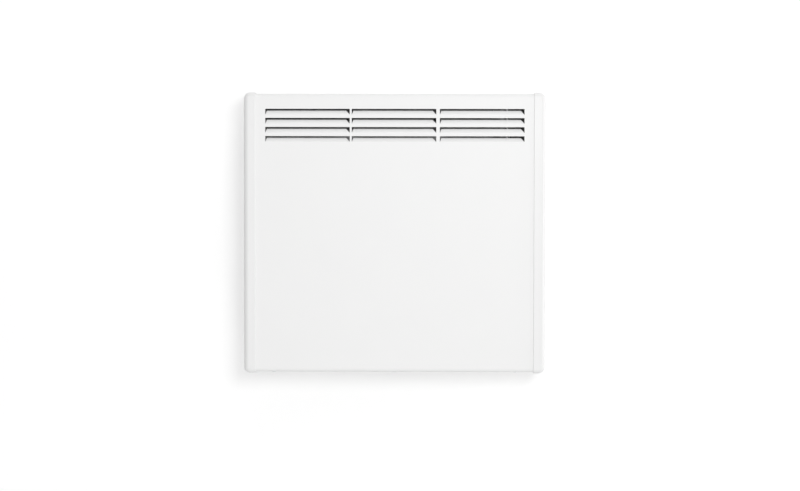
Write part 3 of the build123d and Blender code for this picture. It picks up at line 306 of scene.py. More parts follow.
class Finish(Tree):
    """One material, built from a Principled shader and what varies over it."""

    def __init__(self, name, **constants):
        self.material = bpy.data.materials.new(name)
        super().__init__(self.material)
        self.shader = self.node("BsdfPrincipled")
        self.node("OutputMaterial", None, {"Surface": self.shader.outputs["BSDF"]})
        self.set(**constants)

    def coordinates(self, stretch=(1, 1, 1)):
        """The piece's own coordinates, drawn out along each axis by its stretch."""
        place = self.node("TexCoord").outputs["Object"]
        scale = tuple(1 / share for share in stretch)
        return self.node("Mapping", None, {"Vector": place, "Scale": scale}).outputs["Vector"]

    def axes(self):
        """X, Y and Z of the surface, in metres."""
        split = self.node("SeparateXYZ", None, {"Vector": self.coordinates()})
        return [Number(self, split.outputs[axis]) for axis in "XYZ"]

    def outwards(self, centre):
        """1 where a sheet faces away from a line along X, and 0 where it faces that line."""
        facing = self.node("SeparateXYZ", None, {"Vector": self.node("TexCoord").outputs["Normal"]})
        across, up = (Number(self, facing.outputs[axis]) for axis in "YZ")
        place = self.axes()
        return (across * (place[1] - centre.y) + up * (place[2] - centre.z)).over(0)

    def clouds(self, size, detail=2.0, stretch=(1, 1, 1)):
        """Soft patches from 0 to 1, about as wide as a size in metres."""
        node = self.node(
            "TexNoise",
            None,
            {"Vector": self.coordinates(stretch), "Scale": 1 / size, "Detail": detail},
        )
        return Number(self, node.outputs["Fac"])

    def crystals(self, size):
        """A random number from 0 to 1 in each cell of about that size."""
        node = self.node("TexVoronoi", None, {"Vector": self.coordinates(), "Scale": 1 / size})
        split = self.node("SeparateColor", None, {"Color": node.outputs["Color"]})
        return Number(self, split.outputs["Red"])

    def mixed(self, first, second, share):
        """One colour passing into another as the share goes from 0 to 1."""
        node = self.node("Mix", {"data_type": "RGBA"}, {0: share, 6: first, 7: second})
        return node.outputs[2]

    def relief(self, height, depth):
        """Bumps that stand as high as the depth where the height is 1."""
        bump = self.node("Bump", None, {"Height": height, "Distance": depth, "Strength": 1.0})
        self.put(self.shader.inputs["Normal"], bump.outputs["Normal"])

    def set(self, **sockets):
        """Fill sockets of the shader with values or with what varies."""
        for name, value in sockets.items():
            self.put(self.shader.inputs[name.replace("_", " ")], value)
        return self


def shade(rgb, share):
    """A colour made darker or lighter by a share."""
    return tuple(min(1.0, part * share) for part in rgb)


def powder_coat(name, rgb, roughness):
    """Baked paint with a fine orange peel, and a dark grey on a sheet's inner side: partly a priming coat, partly
    painted shade.
    """
    looks = bpy.context.scene.heater_looks
    grain, primer = looks.grain, looks.colours.primer
    finish = Finish(name, Metallic=0.0, Coat_Roughness=0.25)
    peel = finish.clouds(grain.peel, 1.5)
    fine = finish.clouds(grain.peel / 4, 2.0)
    cloud = finish.clouds(60 * MM, 2.0)
    outside = finish.outwards(middle("front_panel"))
    paint = finish.mixed(shade(rgb, 0.985), shade(rgb, 1.008), cloud)
    finish.set(
        # The inner side's dark grey is partly a priming coat and partly painted shade for the inside seen through
        # the louvre slits.
        Base_Color=finish.mixed(primer, paint, outside),
        Roughness=roughness + 0.2 * (1 - outside) + 0.07 * fine + 0.04 * cloud,
        Coat_Weight=(0.05 + 0.08 * peel) * outside,
    )
    finish.relief(peel * 0.8 + fine * 0.2, grain.peel_depth)
    return finish.material


def moulded(name, rgb, roughness, flow=0.015):
    """Moulded plastic with the spark grain of its tool and faint flow marks."""
    grain = bpy.context.scene.heater_looks.grain
    finish = Finish(name, Metallic=0.0)
    spark = finish.clouds(grain.spark, 3.0)
    marks = finish.clouds(25 * MM, 2.0, (1, 1, 4))
    finish.set(
        Base_Color=finish.mixed(shade(rgb, 1 - flow), shade(rgb, 1 + flow / 2), marks),
        Roughness=roughness + 0.1 * spark - 0.05 * marks,
    )
    finish.relief(spark, grain.spark_depth)
    return finish.material


def galvanised(name, rgb):
    """Hot-dipped sheet with its grey crystals."""
    grain = bpy.context.scene.heater_looks.grain
    finish = Finish(name, Metallic=1.0)
    spangle = finish.crystals(grain.spangle)
    small = finish.crystals(grain.spangle / 3)
    tone = 0.7 * spangle + 0.3 * small
    finish.set(
        Base_Color=finish.mixed(shade(rgb, 0.87), shade(rgb, 1.09), tone),
        Roughness=0.32 + 0.16 * small + 0.1 * finish.clouds(3 * MM),
    )
    finish.relief(finish.clouds(0.8 * MM, 3.0), 0.01 * MM)
    return finish.material


def plated(name, rgb, tint, stretch=(1, 1, 1)):
    """Zinc or tin plate with a faint tint of its passivation and the draw lines below it."""
    finish = Finish(name, Metallic=1.0)
    patches = finish.clouds(9 * MM, 3.0)
    lines = finish.clouds(0.5 * MM, 2.0, stretch)
    finish.set(
        Base_Color=finish.mixed(rgb, tint, patches.between(0.35, 0.75) * 0.6),
        Roughness=0.26 + 0.16 * lines + 0.14 * patches,
    )
    finish.relief(lines, 0.006 * MM)
    return finish.material


def drawn(name, rgb, dull, stretch):
    """Bare metal with drawing lines and dull patches."""
    finish = Finish(name, Metallic=1.0)
    lines = finish.clouds(0.35 * MM, 2.0, stretch)
    patches = finish.clouds(14 * MM, 4.0)
    finish.set(
        Base_Color=finish.mixed(rgb, dull, patches.between(0.4, 0.8) * 0.7),
        Roughness=0.28 + 0.2 * lines + 0.12 * patches,
    )
    finish.relief(lines, 0.01 * MM)
    return finish.material


def heated_aluminium(name, rgb):
    """Extruded aluminium, straw-coloured close to the hot rod."""
    finish = Finish(name, Metallic=1.0)
    core = middle("heating_element")
    across, up = finish.axes()[1:]
    radius = ((across - core.y) ** 2 + (up - core.z) ** 2) ** 0.5
    lines = finish.clouds(0.3 * MM, 2.0, (80, 1, 1))
    heat = 1 - radius.between(7 * MM, 15 * MM) + 0.3 * finish.clouds(20 * MM)
    finish.set(
        Base_Color=finish.mixed(rgb, (0.5, 0.42, 0.3), heat * 0.5),
        Roughness=0.34 + 0.2 * lines,
    )
    finish.relief(lines, 0.012 * MM)
    return finish.material


def ceramic(name, rgb):
    """Unglazed steatite with small dark specks."""
    finish = Finish(name, Metallic=0.0)
    specks = finish.clouds(0.6 * MM, 1.0).over(0.68)
    grain = finish.clouds(0.3 * MM, 3.0)
    finish.set(
        Base_Color=finish.mixed(rgb, shade(rgb, 0.55), specks * 0.5),
        Roughness=0.55 + 0.2 * grain,
    )
    finish.relief(grain, 0.02 * MM)
    return finish.material


def insulation(name, rgb):
    """Extruded lead insulation, slightly chalky."""
    finish = Finish(name, Metallic=0.0)
    chalk = finish.clouds(6 * MM, 3.0)
    fine = finish.clouds(0.25 * MM, 2.0)
    finish.set(
        Base_Color=finish.mixed(rgb, shade(rgb, 1.25), chalk),
        Roughness=0.4 + 0.15 * fine,
    )
    finish.relief(fine, 0.006 * MM)
    return finish.material


def striped_insulation(name, green, yellow):
    """Earth lead: green on one side and yellow along the other."""
    finish = Finish(name, Metallic=0.0)
    along = finish.axes()[0]
    stripe = (along - middle("lead_earth").x).over(0)
    fine = finish.clouds(0.25 * MM, 2.0)
    finish.set(
        Base_Color=finish.mixed(green, yellow, stripe),
        Roughness=0.4 + 0.15 * fine,
    )
    finish.relief(fine, 0.006 * MM)
    return finish.material


def braided_sleeve(name, rgb):
    """Glass-fibre sleeve, whose strands cross at a slant."""
    finish = Finish(name, Metallic=0.0)
    along, across, up = finish.axes()
    pitch = 2 * math.pi / (0.9 * MM)
    one = ((along + up + across) * pitch).sine()
    other = ((along - up - across) * pitch).sine()
    weave = one * other * 0.5 + 0.5
    finish.set(
        Base_Color=finish.mixed(shade(rgb, 0.8), rgb, weave),
        Roughness=0.65 + 0.15 * weave,
    )
    finish.relief(weave, 0.06 * MM)
    return finish.material


def clear_lens(name, rgb):
    """Clear red plastic with fine prisms behind its face."""
    finish = Finish(
        name, Metallic=0.0, Transmission_Weight=0.55, IOR=1.49, Specular_IOR_Level=0.35
    )
    across, up = finish.axes()[1:]
    pitch = 2 * math.pi / (0.8 * MM)
    ripple = ((up * pitch).sine() + (across * pitch).sine()) * 0.25 + 0.5
    finish.set(
        Base_Color=finish.mixed(shade(rgb, 0.75), rgb, ripple),
        Roughness=0.06 + 0.05 * ripple,
    )
    finish.relief(ripple, 0.05 * MM)
    return finish.material


def printed(name, rgb):
    """Pad-printed ink, a little uneven."""
    finish = Finish(name, Metallic=0.0)
    specks = finish.clouds(0.3 * MM, 2.0)
    finish.set(
        Base_Color=finish.mixed(rgb, shade(rgb, 1.5), specks),
        Roughness=0.5 + 0.15 * specks,
    )
    finish.relief(specks, 0.004 * MM)
    return finish.material


def make_finishes():
    """Every material of the heater, by the name of its slot."""
    chosen = bpy.context.scene.heater_looks.colours
    zinc, blue_zinc = (0.66, 0.66, 0.65), (0.60, 0.63, 0.68)
    tin = (0.56, 0.53, 0.46)
    return {
        "panel_paint": powder_coat("panel_paint", chosen.panel, 0.34),
        "rear_paint": powder_coat("rear_paint", chosen.rear, 0.46),
        "cap_plastic": moulded("cap_plastic", chosen.caps, 0.3),
        # The duct's galvanised grey is darker than plain sheet: partly heat-dulled steel, partly painted shade for
        # the inside seen through the louvre slits.
        "galvanised_steel": galvanised("galvanised_steel", (0.45, 0.455, 0.46)),
        "grey_silicone": moulded("grey_silicone", (0.32, 0.32, 0.33), 0.6, 0.05),
        "element_aluminium": heated_aluminium("element_aluminium", (0.72, 0.72, 0.72)),
        "sheath_steel": drawn("sheath_steel", (0.5, 0.48, 0.45), (0.3, 0.24, 0.2), (40, 1, 1)),
        "white_ceramic": ceramic("white_ceramic", (0.84, 0.82, 0.75)),
        "black_plastic": moulded("black_plastic", (0.045, 0.045, 0.047), 0.42, 0.1),
        "spindle_brass": drawn("spindle_brass", (0.75, 0.6, 0.32), (0.55, 0.42, 0.22), (1, 9, 9)),
        "dial_plastic": moulded("dial_plastic", chosen.dial, 0.36),
        "lens_red": clear_lens("lens_red", chosen.lens),
        "rocker_plastic": moulded("rocker_plastic", chosen.rocker, 0.24, 0.1),
        "block_plastic": moulded("block_plastic", (0.82, 0.81, 0.76), 0.45, 0.03),
        "terminal_brass": plated("terminal_brass", (0.62, 0.49, 0.27), tin),
        "gland_plastic": moulded("gland_plastic", (0.74, 0.74, 0.73), 0.42, 0.03),
        "zinc_steel": plated("zinc_steel", zinc, blue_zinc),
        "lead_brown": insulation("lead_brown", (0.2, 0.09, 0.045)),
        "lead_black": insulation("lead_black", (0.035, 0.035, 0.037)),
        "lead_white": braided_sleeve("lead_white", (0.8, 0.78, 0.71)),
        "lead_blue": insulation("lead_blue", (0.05, 0.16, 0.45)),
        "lead_green": striped_insulation("lead_green", (0.06, 0.3, 0.07), (0.75, 0.62, 0.06)),
        "capillary_copper": drawn(
            "capillary_copper", (0.8, 0.45, 0.3), (0.45, 0.25, 0.17), (1, 1, 30)
        ),
        "bracket_steel": galvanised("bracket_steel", (0.56, 0.565, 0.57)),
        "ink": printed("ink", chosen.ink),
        "pale_ink": printed("pale_ink", chosen.pale_ink),
    }


finishes = {}


def finish_for(slot):
    """The finished material of a slot, all of them made the first time that one is wanted."""
    if slot not in finishes:
        finishes.update(make_finishes())
    return finishes[slot]


# ---- Modelling steps ----


def start():
    """Leave edit mode and let go of everything."""
    if bpy.context.object and bpy.context.object.mode != "OBJECT":
        bpy.ops.object.mode_set(mode="OBJECT")
    bpy.ops.object.select_all(action="DESELECT")


def pick(piece, kind, wanted):
    """Enter edit mode with only the wanted faces or edges selected, by their place."""
    mesh = piece.data
    faces = kind == "FACE"
    bpy.context.tool_settings.mesh_select_mode = (False, not faces, faces)
    bpy.ops.object.mode_set(mode="OBJECT")
    for part in (*mesh.vertices, *mesh.edges, *mesh.polygons):
        part.select = False
    if faces:
        for face in mesh.polygons:
            face.select = wanted(face.center, face.normal)
    else:
        for edge in mesh.edges:
            edge.select = wanted(*(mesh.vertices[end].co for end in edge.vertices))
    bpy.ops.object.mode_set(mode="EDIT")


def top_edges(level):
    """A test for the edges of a face on top, at a level."""
    return lambda one, other: min(one.z, other.z) > level - CLOSE


def top_face(centre, normal):
    """A test for faces that look up."""
    return normal.z > 0.9


def upright(one, other):
    """A test for edges that stand straight up."""
    return (one - other).xy.length < CLOSE


def every(one, other):
    """A test that takes every edge."""
    return True


def finish_modelling(piece, smooth=40):
    """Leave edit mode, turn every face outwards and smooth all but the sharp edges."""
    bpy.ops.object.mode_set(mode="EDIT")
    bpy.ops.mesh.select_all(action="SELECT")
    bpy.ops.mesh.remove_doubles(threshold=CLOSE / 10)
    bpy.ops.mesh.normals_make_consistent(inside=False)
    bpy.ops.object.mode_set(mode="OBJECT")
    start()
    piece.select_set(True)
    bpy.context.view_layer.objects.active = piece
    bpy.ops.object.shade_smooth_by_angle(angle=math.radians(smooth))
    start()
    return piece


def disc(name, radius, height, sides=40, base=0.0):
    """A round blank standing on the plane Z = base."""
    start()
    bpy.ops.mesh.primitive_cylinder_add(
        vertices=sides, radius=radius, depth=height, location=(0, 0, base + height / 2)
    )
    return named(name)


def block(name, size, place):
    """A square blank of a size, its middle at a place."""
    start()
    bpy.ops.mesh.primitive_cube_add(size=1, location=place, scale=size)
    return named(name)


def named(name):
    """Name the new piece and put its place, turn and scale into its mesh."""
    piece = bpy.context.object
    piece.name = name
    bpy.ops.object.transform_apply(location=True, rotation=True, scale=True)
    return piece


def soften(piece, wanted, width, segments):
    """Round the edges that pass a test."""
    pick(piece, "EDGE", wanted)
    bpy.ops.mesh.bevel(offset=width, offset_type="OFFSET", segments=segments, affect="EDGES")
    bpy.ops.object.mode_set(mode="OBJECT")


def narrow(piece, wanted, *shares):
    """Shrink the faces that pass a test by a share along X and one along Y."""
    pick(piece, "FACE", wanted)
    bpy.ops.transform.resize(value=(*shares, 1))
    bpy.ops.object.mode_set(mode="OBJECT")


def cut_away(piece, *cutters):
    """Take the cutters' shape out of the piece."""
    for cutter in cutters:
        start()
        bpy.context.view_layer.objects.active = piece
        piece.select_set(True)
        modifier = piece.modifiers.new("cut", "BOOLEAN")
        modifier.operation = "DIFFERENCE"
        modifier.solver = "EXACT"
        modifier.object = cutter
        bpy.ops.object.modifier_apply(modifier=modifier.name)
        bpy.data.objects.remove(cutter)


def put_up(piece, name, turn_to, place):
    """A copy of a piece with its own mesh, turned and moved to its place."""
    copy = piece.copy()
    copy.data = piece.data.copy()
    copy.name = name
    bpy.context.collection.objects.link(copy)
    copy.data.transform(Matrix.Translation(place) @ turn_to.to_4x4())
    return copy


def join(pieces, name):
    """Join pieces into one object under a name."""
    start()
    for piece in pieces:
        piece.select_set(True)
    bpy.context.view_layer.objects.active = pieces[0]
    bpy.ops.object.join()
    pieces[0].name = name
    start()
    return pieces[0]


def dress(piece, node, slot=None, replace=True):
    """Give a piece its material and let it ride with, or stand for, a frame node."""
    slot = slot or SLOT_OF[node]
    piece.data.materials.clear()
    piece.data.materials.append(finish_for(slot))
    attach(piece, BODY_OF[node])
    if replace:
        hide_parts(node)
    return piece


def solids_of(node):
    """The boxes of a frame node's separate solids, from the loose parts of its mesh."""
    mesh = frame["nodes"][node].data
    places = {}
    for vertex in mesh.vertices:
        key = tuple(round(part / MM, 2) for part in vertex.co)
        places.setdefault(key, []).append(vertex.index)
    group = list(range(len(mesh.vertices)))

    def root(index):
        while group[index] != index:
            group[index] = group[group[index]]
            index = group[index]
        return index

    for shared in places.values():
        for index in shared[1:]:
            group[root(index)] = root(shared[0])
    for face in mesh.polygons:
        for index in face.vertices[1:]:
            group[root(index)] = root(face.vertices[0])
    boxes = {}
    for vertex in mesh.vertices:
        low, high = boxes.setdefault(root(vertex.index), (vertex.co.copy(), vertex.co.copy()))
        for axis in range(3):
            low[axis] = min(low[axis], vertex.co[axis])
            high[axis] = max(high[axis], vertex.co[axis])
    return sorted(boxes.values(), key=lambda ends: tuple(ends[0]))


def stand_in_places(blank, node, ending, outwards, inset=0.0):
    """Stand copies of a blank for a node's solids, set in from their outer ends."""
    axis = max(range(3), key=lambda index: abs(outwards[index]))
    copies = []
    for low, high in solids_of(node):
        level = high[axis] - inset if outwards[axis] > 0 else low[axis] + inset
        seat = seat_in(low, high, axis, level)
        copies.append(put_up(blank, node + "_copy", axis_turn(outwards), seat))
    bpy.data.objects.remove(blank)
    return dress(join(copies, node + ending), node)


def paint_nodes(*nodes):
    """Give frame nodes the finished materials of their slots."""
    for node in nodes:
        frame["nodes"][node].data.materials.clear()
        frame["nodes"][node].data.materials.append(finish_for(SLOT_OF[node]))


# ---- The heater's pieces ----


class HEATER_OT_case(bpy.types.Operator):
    """Paint the panels, the grille and the end caps"""

    bl_idname = "heater.case"
    bl_label = "Case"

    def execute(self, context):
        paint_nodes("front_panel", "rear_panel", "inlet_grille", "left_end_cap", "right_end_cap")
        return {"FINISHED"}


class HEATER_OT_duct(bpy.types.Operator):
    """Finish the heat shield, the partition, the element and what holds them"""

    bl_idname = "heater.duct"
    bl_label = "Air duct and element"

    def execute(self, context):
        paint_nodes(
            "heat_shield",
            "wiring_partition",
            "partition_grommet",
            "heating_element",
            "element_sheath",
            "element_pins",
            "element_bracket_left",
            "element_bracket_right",
            "ceramic_bushes",
            "thermal_cutout",
            "sensor_bulb",
            "bulb_clip",
            "capillary_tube",
        )
        return {"FINISHED"}


class HEATER_OT_wiring(bpy.types.Operator):
    """Finish the leads, the terminals, the gland and the earth lug"""

    bl_idname = "heater.wiring"
    bl_label = "Wiring"

    def execute(self, context):
        leads = [node for node in frame["nodes"] if node.startswith("lead_")]
        paint_nodes(
            *leads,
            "terminal_block",
            "spade_terminals",
            "earth_lug",
            "cable_gland",
            "gland_nut",
        )
        return {"FINISHED"}


class HEATER_OT_bracket(bpy.types.Operator):
    """Finish the wall bracket"""

    bl_idname = "heater.bracket"
    bl_label = "Wall bracket"

    def execute(self, context):
        paint_nodes("wall_bracket")
        return {"FINISHED"}


class HEATER_OT_controls(bpy.types.Operator):
    """Finish the thermostat, the lamp and the switch"""

    bl_idname = "heater.controls"
    bl_label = "Controls"

    def execute(self, context):
        paint_nodes(
            "thermostat_housing",
            "thermostat_spindle",
            "indicator_lamp",
            "switch_housing",
            "switch_rocker",
        )
        return {"FINISHED"}


def cut_cross(head, reach, top):
    """Cut a cross recess into a screw's head, from its top down."""
    fittings = bpy.context.scene.heater_looks.fittings
    width, depth = fittings.recess_width, 2 * fittings.recess_depth
    sizes = ((reach, width, depth), (width, reach, depth))
    cut_away(head, *[block("arm", size, (0, 0, top)) for size in sizes])


def crossed_screw(name, head_radius, head_height, shank_length):
    """A domed screw head with a cross recess, its underside on Z = 0, and its shank."""
    dome_share, reach_share, shank_share = 0.62, 1.15, 0.53
    head = disc(name, head_radius, head_height)
    soften(head, top_edges(head_height), head_height * dome_share, 6)
    cut_cross(head, head_radius * reach_share, head_height)
    shank = disc("shank", head_radius * shank_share, shank_length, 24, base=-shank_length)
    return finish_modelling(join([head, shank], name))


def put_up_screws(node, way, head_height):
    """Stand a crossed screw for each solid of a node, its head towards +Y or -Y."""
    low, high = solids_of(node)[0]
    head_radius, shank_length = (high.z - low.z) / 2, high.y - low.y - head_height
    screw = crossed_screw(node + "_blank", head_radius, head_height, shank_length)
    stand_in_places(screw, node, "_crossed", (0, way, 0), head_height)


class HEATER_OT_screws(bpy.types.Operator):
    """Model the crossed screws of the case, the cut-out and the earth"""

    bl_idname = "heater.screws"
    bl_label = "Screws"

    def execute(self, context):
        tall_head, flat_head = 2.2 * MM, 1.4 * MM
        put_up_screws("panel_screws", 1, tall_head)
        put_up_screws("cap_screws", 1, tall_head)
        put_up_screws("earth_screw", -1, tall_head)
        put_up_screws("cutout_screws", -1, flat_head)
        return {"FINISHED"}


class HEATER_OT_control_screws(bpy.types.Operator):
    """Model the countersunk screws that hold the thermostat"""

    bl_idname = "heater.control_screws"
    bl_label = "Countersunk screws"

    def execute(self, context):
        head_height, reach_share, shank_share = 2 * MM, 1.1, 0.52
        copies = []
        for index, (low, high) in enumerate(solids_of("control_screws")):
            radius, shank_length = (high.z - low.z) / 2, high.x - low.x - head_height
            head = disc("countersunk", radius, head_height, base=-head_height)
            pick(head, "FACE", lambda centre, normal: normal.z < -0.9)
            bpy.ops.transform.resize(value=(shank_share, shank_share, 1))
            bpy.ops.mesh.extrude_region_move(
                TRANSFORM_OT_translate={"value": (0, 0, -shank_length)}
            )
            bpy.ops.object.mode_set(mode="OBJECT")
            cut_cross(head, radius * reach_share, 0)
            finish_modelling(head)
            seat = seat_in(low, high, 0, high.x)
            copies.append(put_up(head, f"countersunk_{index}", FACING_RIGHT, seat))
            bpy.data.objects.remove(head)
        dress(join(copies, "control_screws_crossed"), "control_screws")
        return {"FINISHED"}


class HEATER_OT_terminal_screws(bpy.types.Operator):
    """Model the slotted screws in the terminal block"""

    bl_idname = "heater.terminal_screws"
    bl_label = "Terminal screws"

    def execute(self, context):
        fittings = context.scene.heater_looks.fittings
        low, high = solids_of("terminal_screws")[0]
        radius, height, rounding = (high.x - low.x) / 2, high.y - low.y, 0.25 * MM
        screw = disc("slotted", radius, height, 32, base=-height)
        soften(screw, top_edges(0), rounding, 2)
        slot = block("slot", (3 * radius, fittings.slot_width, 2 * fittings.slot_depth), (0, 0, 0))
        cut_away(screw, slot)
        finish_modelling(screw)
        stand_in_places(screw, "terminal_screws", "_slotted", (0, -1, 0))
        return {"FINISHED"}


class HEATER_OT_rivets(bpy.types.Operator):
    """Model the domed rivets of the grille"""

    bl_idname = "heater.rivets"
    bl_label = "Rivets"

    def execute(self, context):
        low, high = solids_of("grille_rivets")[0]
        radius, height = (high.x - low.x) / 2, high.z - low.z
        seat_height = 1.2 * MM
        head_height = context.scene.heater_looks.fittings.rivet_head
        dome_share, stem_share, hollow_share, hollow_floor = 0.85, 0.5, 0.3, 0.6
        head = disc("rivet", radius, head_height)
        soften(head, top_edges(head_height), head_height * dome_share, 6)
        stem_length = height - seat_height
        stem = disc("stem", radius * stem_share, stem_length, 24, base=-stem_length)
        hollow = disc(
            "hollow", radius * hollow_share, head_height, 24, base=head_height * hollow_floor
        )
        rivet = finish_modelling(join([head, stem], "rivet"))
        cut_away(rivet, hollow)
        finish_modelling(rivet)
        stand_in_places(rivet, "grille_rivets", "_domed", (0, 0, -1), seat_height)
        return {"FINISHED"}


def fluted_disc(radius, height, flute_depth):
    """The dial's disc, with a soft front edge and a flute on every fourth side."""
    sides, sides_per_flute, rounding = 96, 4, 0.9 * MM
    step = 2 * math.pi / sides
    piece = disc("dial", radius, height, sides)
    soften(piece, top_edges(height), rounding, 4)

    def in_a_flute(centre, normal):
        side = round(math.atan2(centre.y, centre.x) / step - 0.5)
        return abs(normal.z) < 0.2 and side % sides_per_flute == 0

    share = 1 - flute_depth / radius
    narrow(piece, in_a_flute, share, share)
    return piece


def finger_grip(width, reach, foot, top):
    """The dial's grip, with round ends and a front that is a little smaller than its foot."""
    end_share, top_width, top_reach, rounding = 0.495, 0.88, 0.95, 0.9 * MM
    piece = block("handle", (width, reach, top - foot), (0, 0, (top + foot) / 2))
    soften(piece, upright, width * end_share, 10)
    narrow(piece, top_face, top_width, top_reach)
    soften(piece, top_edges(top), rounding, 4)
    return piece


class HEATER_OT_dial(bpy.types.Operator):
    """Model the fluted thermostat dial with its grip and line"""

    bl_idname = "heater.dial"
    bl_label = "Thermostat dial"

    def execute(self, context):
        looks = context.scene.heater_looks
        low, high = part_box("thermostat_dial")
        radius, height = (high.y - low.y) / 2, high.x - low.x
        disc_height = 3.0 * MM
        grip_width, grip_length, grip_sunk = 7.0 * MM, 25.0 * MM, 1.0 * MM
        face = fluted_disc(radius, disc_height, looks.fittings.flute_depth)
        grip = finger_grip(grip_width, grip_length, disc_height - grip_sunk, height)
        finish_modelling(face)
        finish_modelling(grip)
        whole = join([face, grip], "dial_blank")
        seat = seat_in(low, high, 0, low.x)
        fluted = put_up(whole, "thermostat_dial_fluted", FACING_RIGHT, seat)
        bpy.data.objects.remove(whole)
        dress(fluted, "thermostat_dial")

        marks, line_gap = looks.marks, 1.5 * MM
        line = block(
            "line",
            (marks.line_width, marks.line_length, 2 * marks.ink_height),
            (0, grip_length / 2 - line_gap - marks.line_length / 2, height),
        )
        soften(line, every, marks.ink_height / 2, 1)
        finish_modelling(line)
        pointer = put_up(line, "dial_line", FACING_RIGHT, seat)
        bpy.data.objects.remove(line)
        dress(pointer, "thermostat_dial", "ink", replace=False)
        return {"FINISHED"}


# Each ring of the lens's dome: its width as a share of the last ring's, and its share of the
# dome's height.
DOME_RINGS = ((0.94, 0.4), (0.8, 0.3), (0.6, 0.2), (0.3, 0.1))


class HEATER_OT_lens(bpy.types.Operator):
    """Model the domed indicator lens"""

    bl_idname = "heater.lens"
    bl_label = "Indicator lens"

    def execute(self, context):
        low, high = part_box("indicator_lens")
        dome = context.scene.heater_looks.fittings.lens_dome
        radius = (high.y - low.y) / 2
        rim_height, stem_radius = 1.2 * MM, 2.5 * MM
        stem_length = high.x - low.x - rim_height
        lens = disc("lens", radius, rim_height, 48)
        pick(lens, "FACE", top_face)
        for share, rise in DOME_RINGS:
            bpy.ops.mesh.extrude_region_move(
                TRANSFORM_OT_translate={"value": (0, 0, dome * rise)}
            )
            bpy.ops.transform.resize(value=(share, share, 1))
        bpy.ops.object.mode_set(mode="OBJECT")
        stem = disc("stem", stem_radius, stem_length, 48, base=-stem_length)
        whole = finish_modelling(join([lens, stem], "lens_blank"), smooth=60)
        seat = seat_in(low, high, 0, low.x + stem_length)
        domed = put_up(whole, "indicator_lens_domed", FACING_RIGHT, seat)
        bpy.data.objects.remove(whole)
        dress(domed, "indicator_lens")
        return {"FINISHED"}


def raised_text(name, words, height, rise):
    """A short word as a thin raised mesh, centred on the origin and facing +Z."""
    capital_share = 0.7  # a capital's height as a share of the font's size
    start()
    bpy.ops.object.text_add()
    text = bpy.context.object
    text.data.body = words
    text.data.align_x = "CENTER"
    text.data.align_y = "CENTER"
    text.data.size = height / capital_share
    text.data.extrude = rise
    text.data.resolution_u = 4
    bpy.ops.object.convert(target="MESH")
    mark = bpy.context.object
    mark.name = name
    low_x, high_x = (fit(corner[0] for corner in mark.bound_box) for fit in (min, max))
    low_y, high_y = (fit(corner[1] for corner in mark.bound_box) for fit in (min, max))
    mark.data.transform(Matrix.Translation((-(low_x + high_x) / 2, -(low_y + high_y) / 2, 0)))
    return mark


class HEATER_OT_numbers(bpy.types.Operator):
    """Print the numbers and ticks round the dial"""

    bl_idname = "heater.numbers"
    bl_label = "Dial numbers"

    def execute(self, context):
        marks = context.scene.heater_looks.marks
        recess_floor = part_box("thermostat_housing")[1].x
        centre = seat_in(*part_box("thermostat_dial"), 0, recess_floor)
        sweep = math.radians(JOINT_OF["dial"]["range_deg"][1])
        steps = 6
        copies = []
        for number in range(steps + 1):
            angle = sweep * number / steps
            place = Vector((math.sin(angle), math.cos(angle), 0)) * marks.ring_radius
            digit = raised_text("digit", str(number), marks.digit_height, marks.ink_height)
            copies.append(put_up(digit, "digit", FACING_RIGHT, centre + FACING_RIGHT @ place))
            bpy.data.objects.remove(digit)
        for gap in range(steps):
            angle = sweep * (gap + 0.5) / steps
            tick = block(
                "tick",
                (marks.tick_width, marks.tick_length, 2 * marks.ink_height),
                (0, marks.ring_radius, 0),
            )
            spin = Matrix.Rotation(-angle, 3, "Z")
            copies.append(put_up(tick, "tick", FACING_RIGHT @ spin, centre))
            bpy.data.objects.remove(tick)
        dress(join(copies, "dial_numbers"), "right_end_cap", "ink", replace=False)
        return {"FINISHED"}


class HEATER_OT_switch_marks(bpy.types.Operator):
    """Mark the rocker's on and off ends"""

    bl_idname = "heater.switch_marks"
    bl_label = "Switch marks"

    def execute(self, context):
        marks = context.scene.heater_looks.marks
        joint = JOINT_OF["rocker"]
        pivot = Vector(joint["pos_m"])
        # The rocker rests tipped to its off end, half of its range away from level.
        tipped = Matrix.Rotation(math.radians(joint["range_deg"][1] / 2), 3, "Y") @ FACING_RIGHT
        # From the pivot to the middle of each half of the rocker's face, and that half's slope.
        reach, rise, slope = 4.2 * MM, 4.58 * MM, math.radians(7.6)
        copies = []
        for end, words in ((1, "I"), (-1, "O")):
            mark = raised_text("mark", words, marks.rocker_height, marks.ink_height)
            lean = Matrix.Rotation(end * slope, 3, "X")
            place = pivot + tipped @ Vector((0, end * reach, rise))
            copies.append(put_up(mark, "mark", tipped @ lean, place))
            bpy.data.objects.remove(mark)
        dress(join(copies, "rocker_marks"), "switch_rocker", "pale_ink", replace=False)
        return {"FINISHED"}


# ---- The studio ----


# Each lamp's angles to the right of the heater and above it in degrees, and its distance and
# width in metres.
LAMPS = {
    "key": (14, 12, 3.0, 0.9),
    "side": (88, 5, 2.5, 1.6),
    "top": (15, 70, 2.5, 1.5),
    "front": (0, 3, 3.4, 1.6),
    "under": (5, -60, 2.5, 1.6),
    "back": (180, 15, 3.0, 1.6),
}

# Widths of the square wall and floor in metres.
WALL_WIDTH, FLOOR_WIDTH = 8, 24


def direction(right, up):
    """The way from the heater to a place so far round to the right and so far up."""
    return Vector((math.sin(right) * math.cos(up), -math.cos(right) * math.cos(up), math.sin(up)))


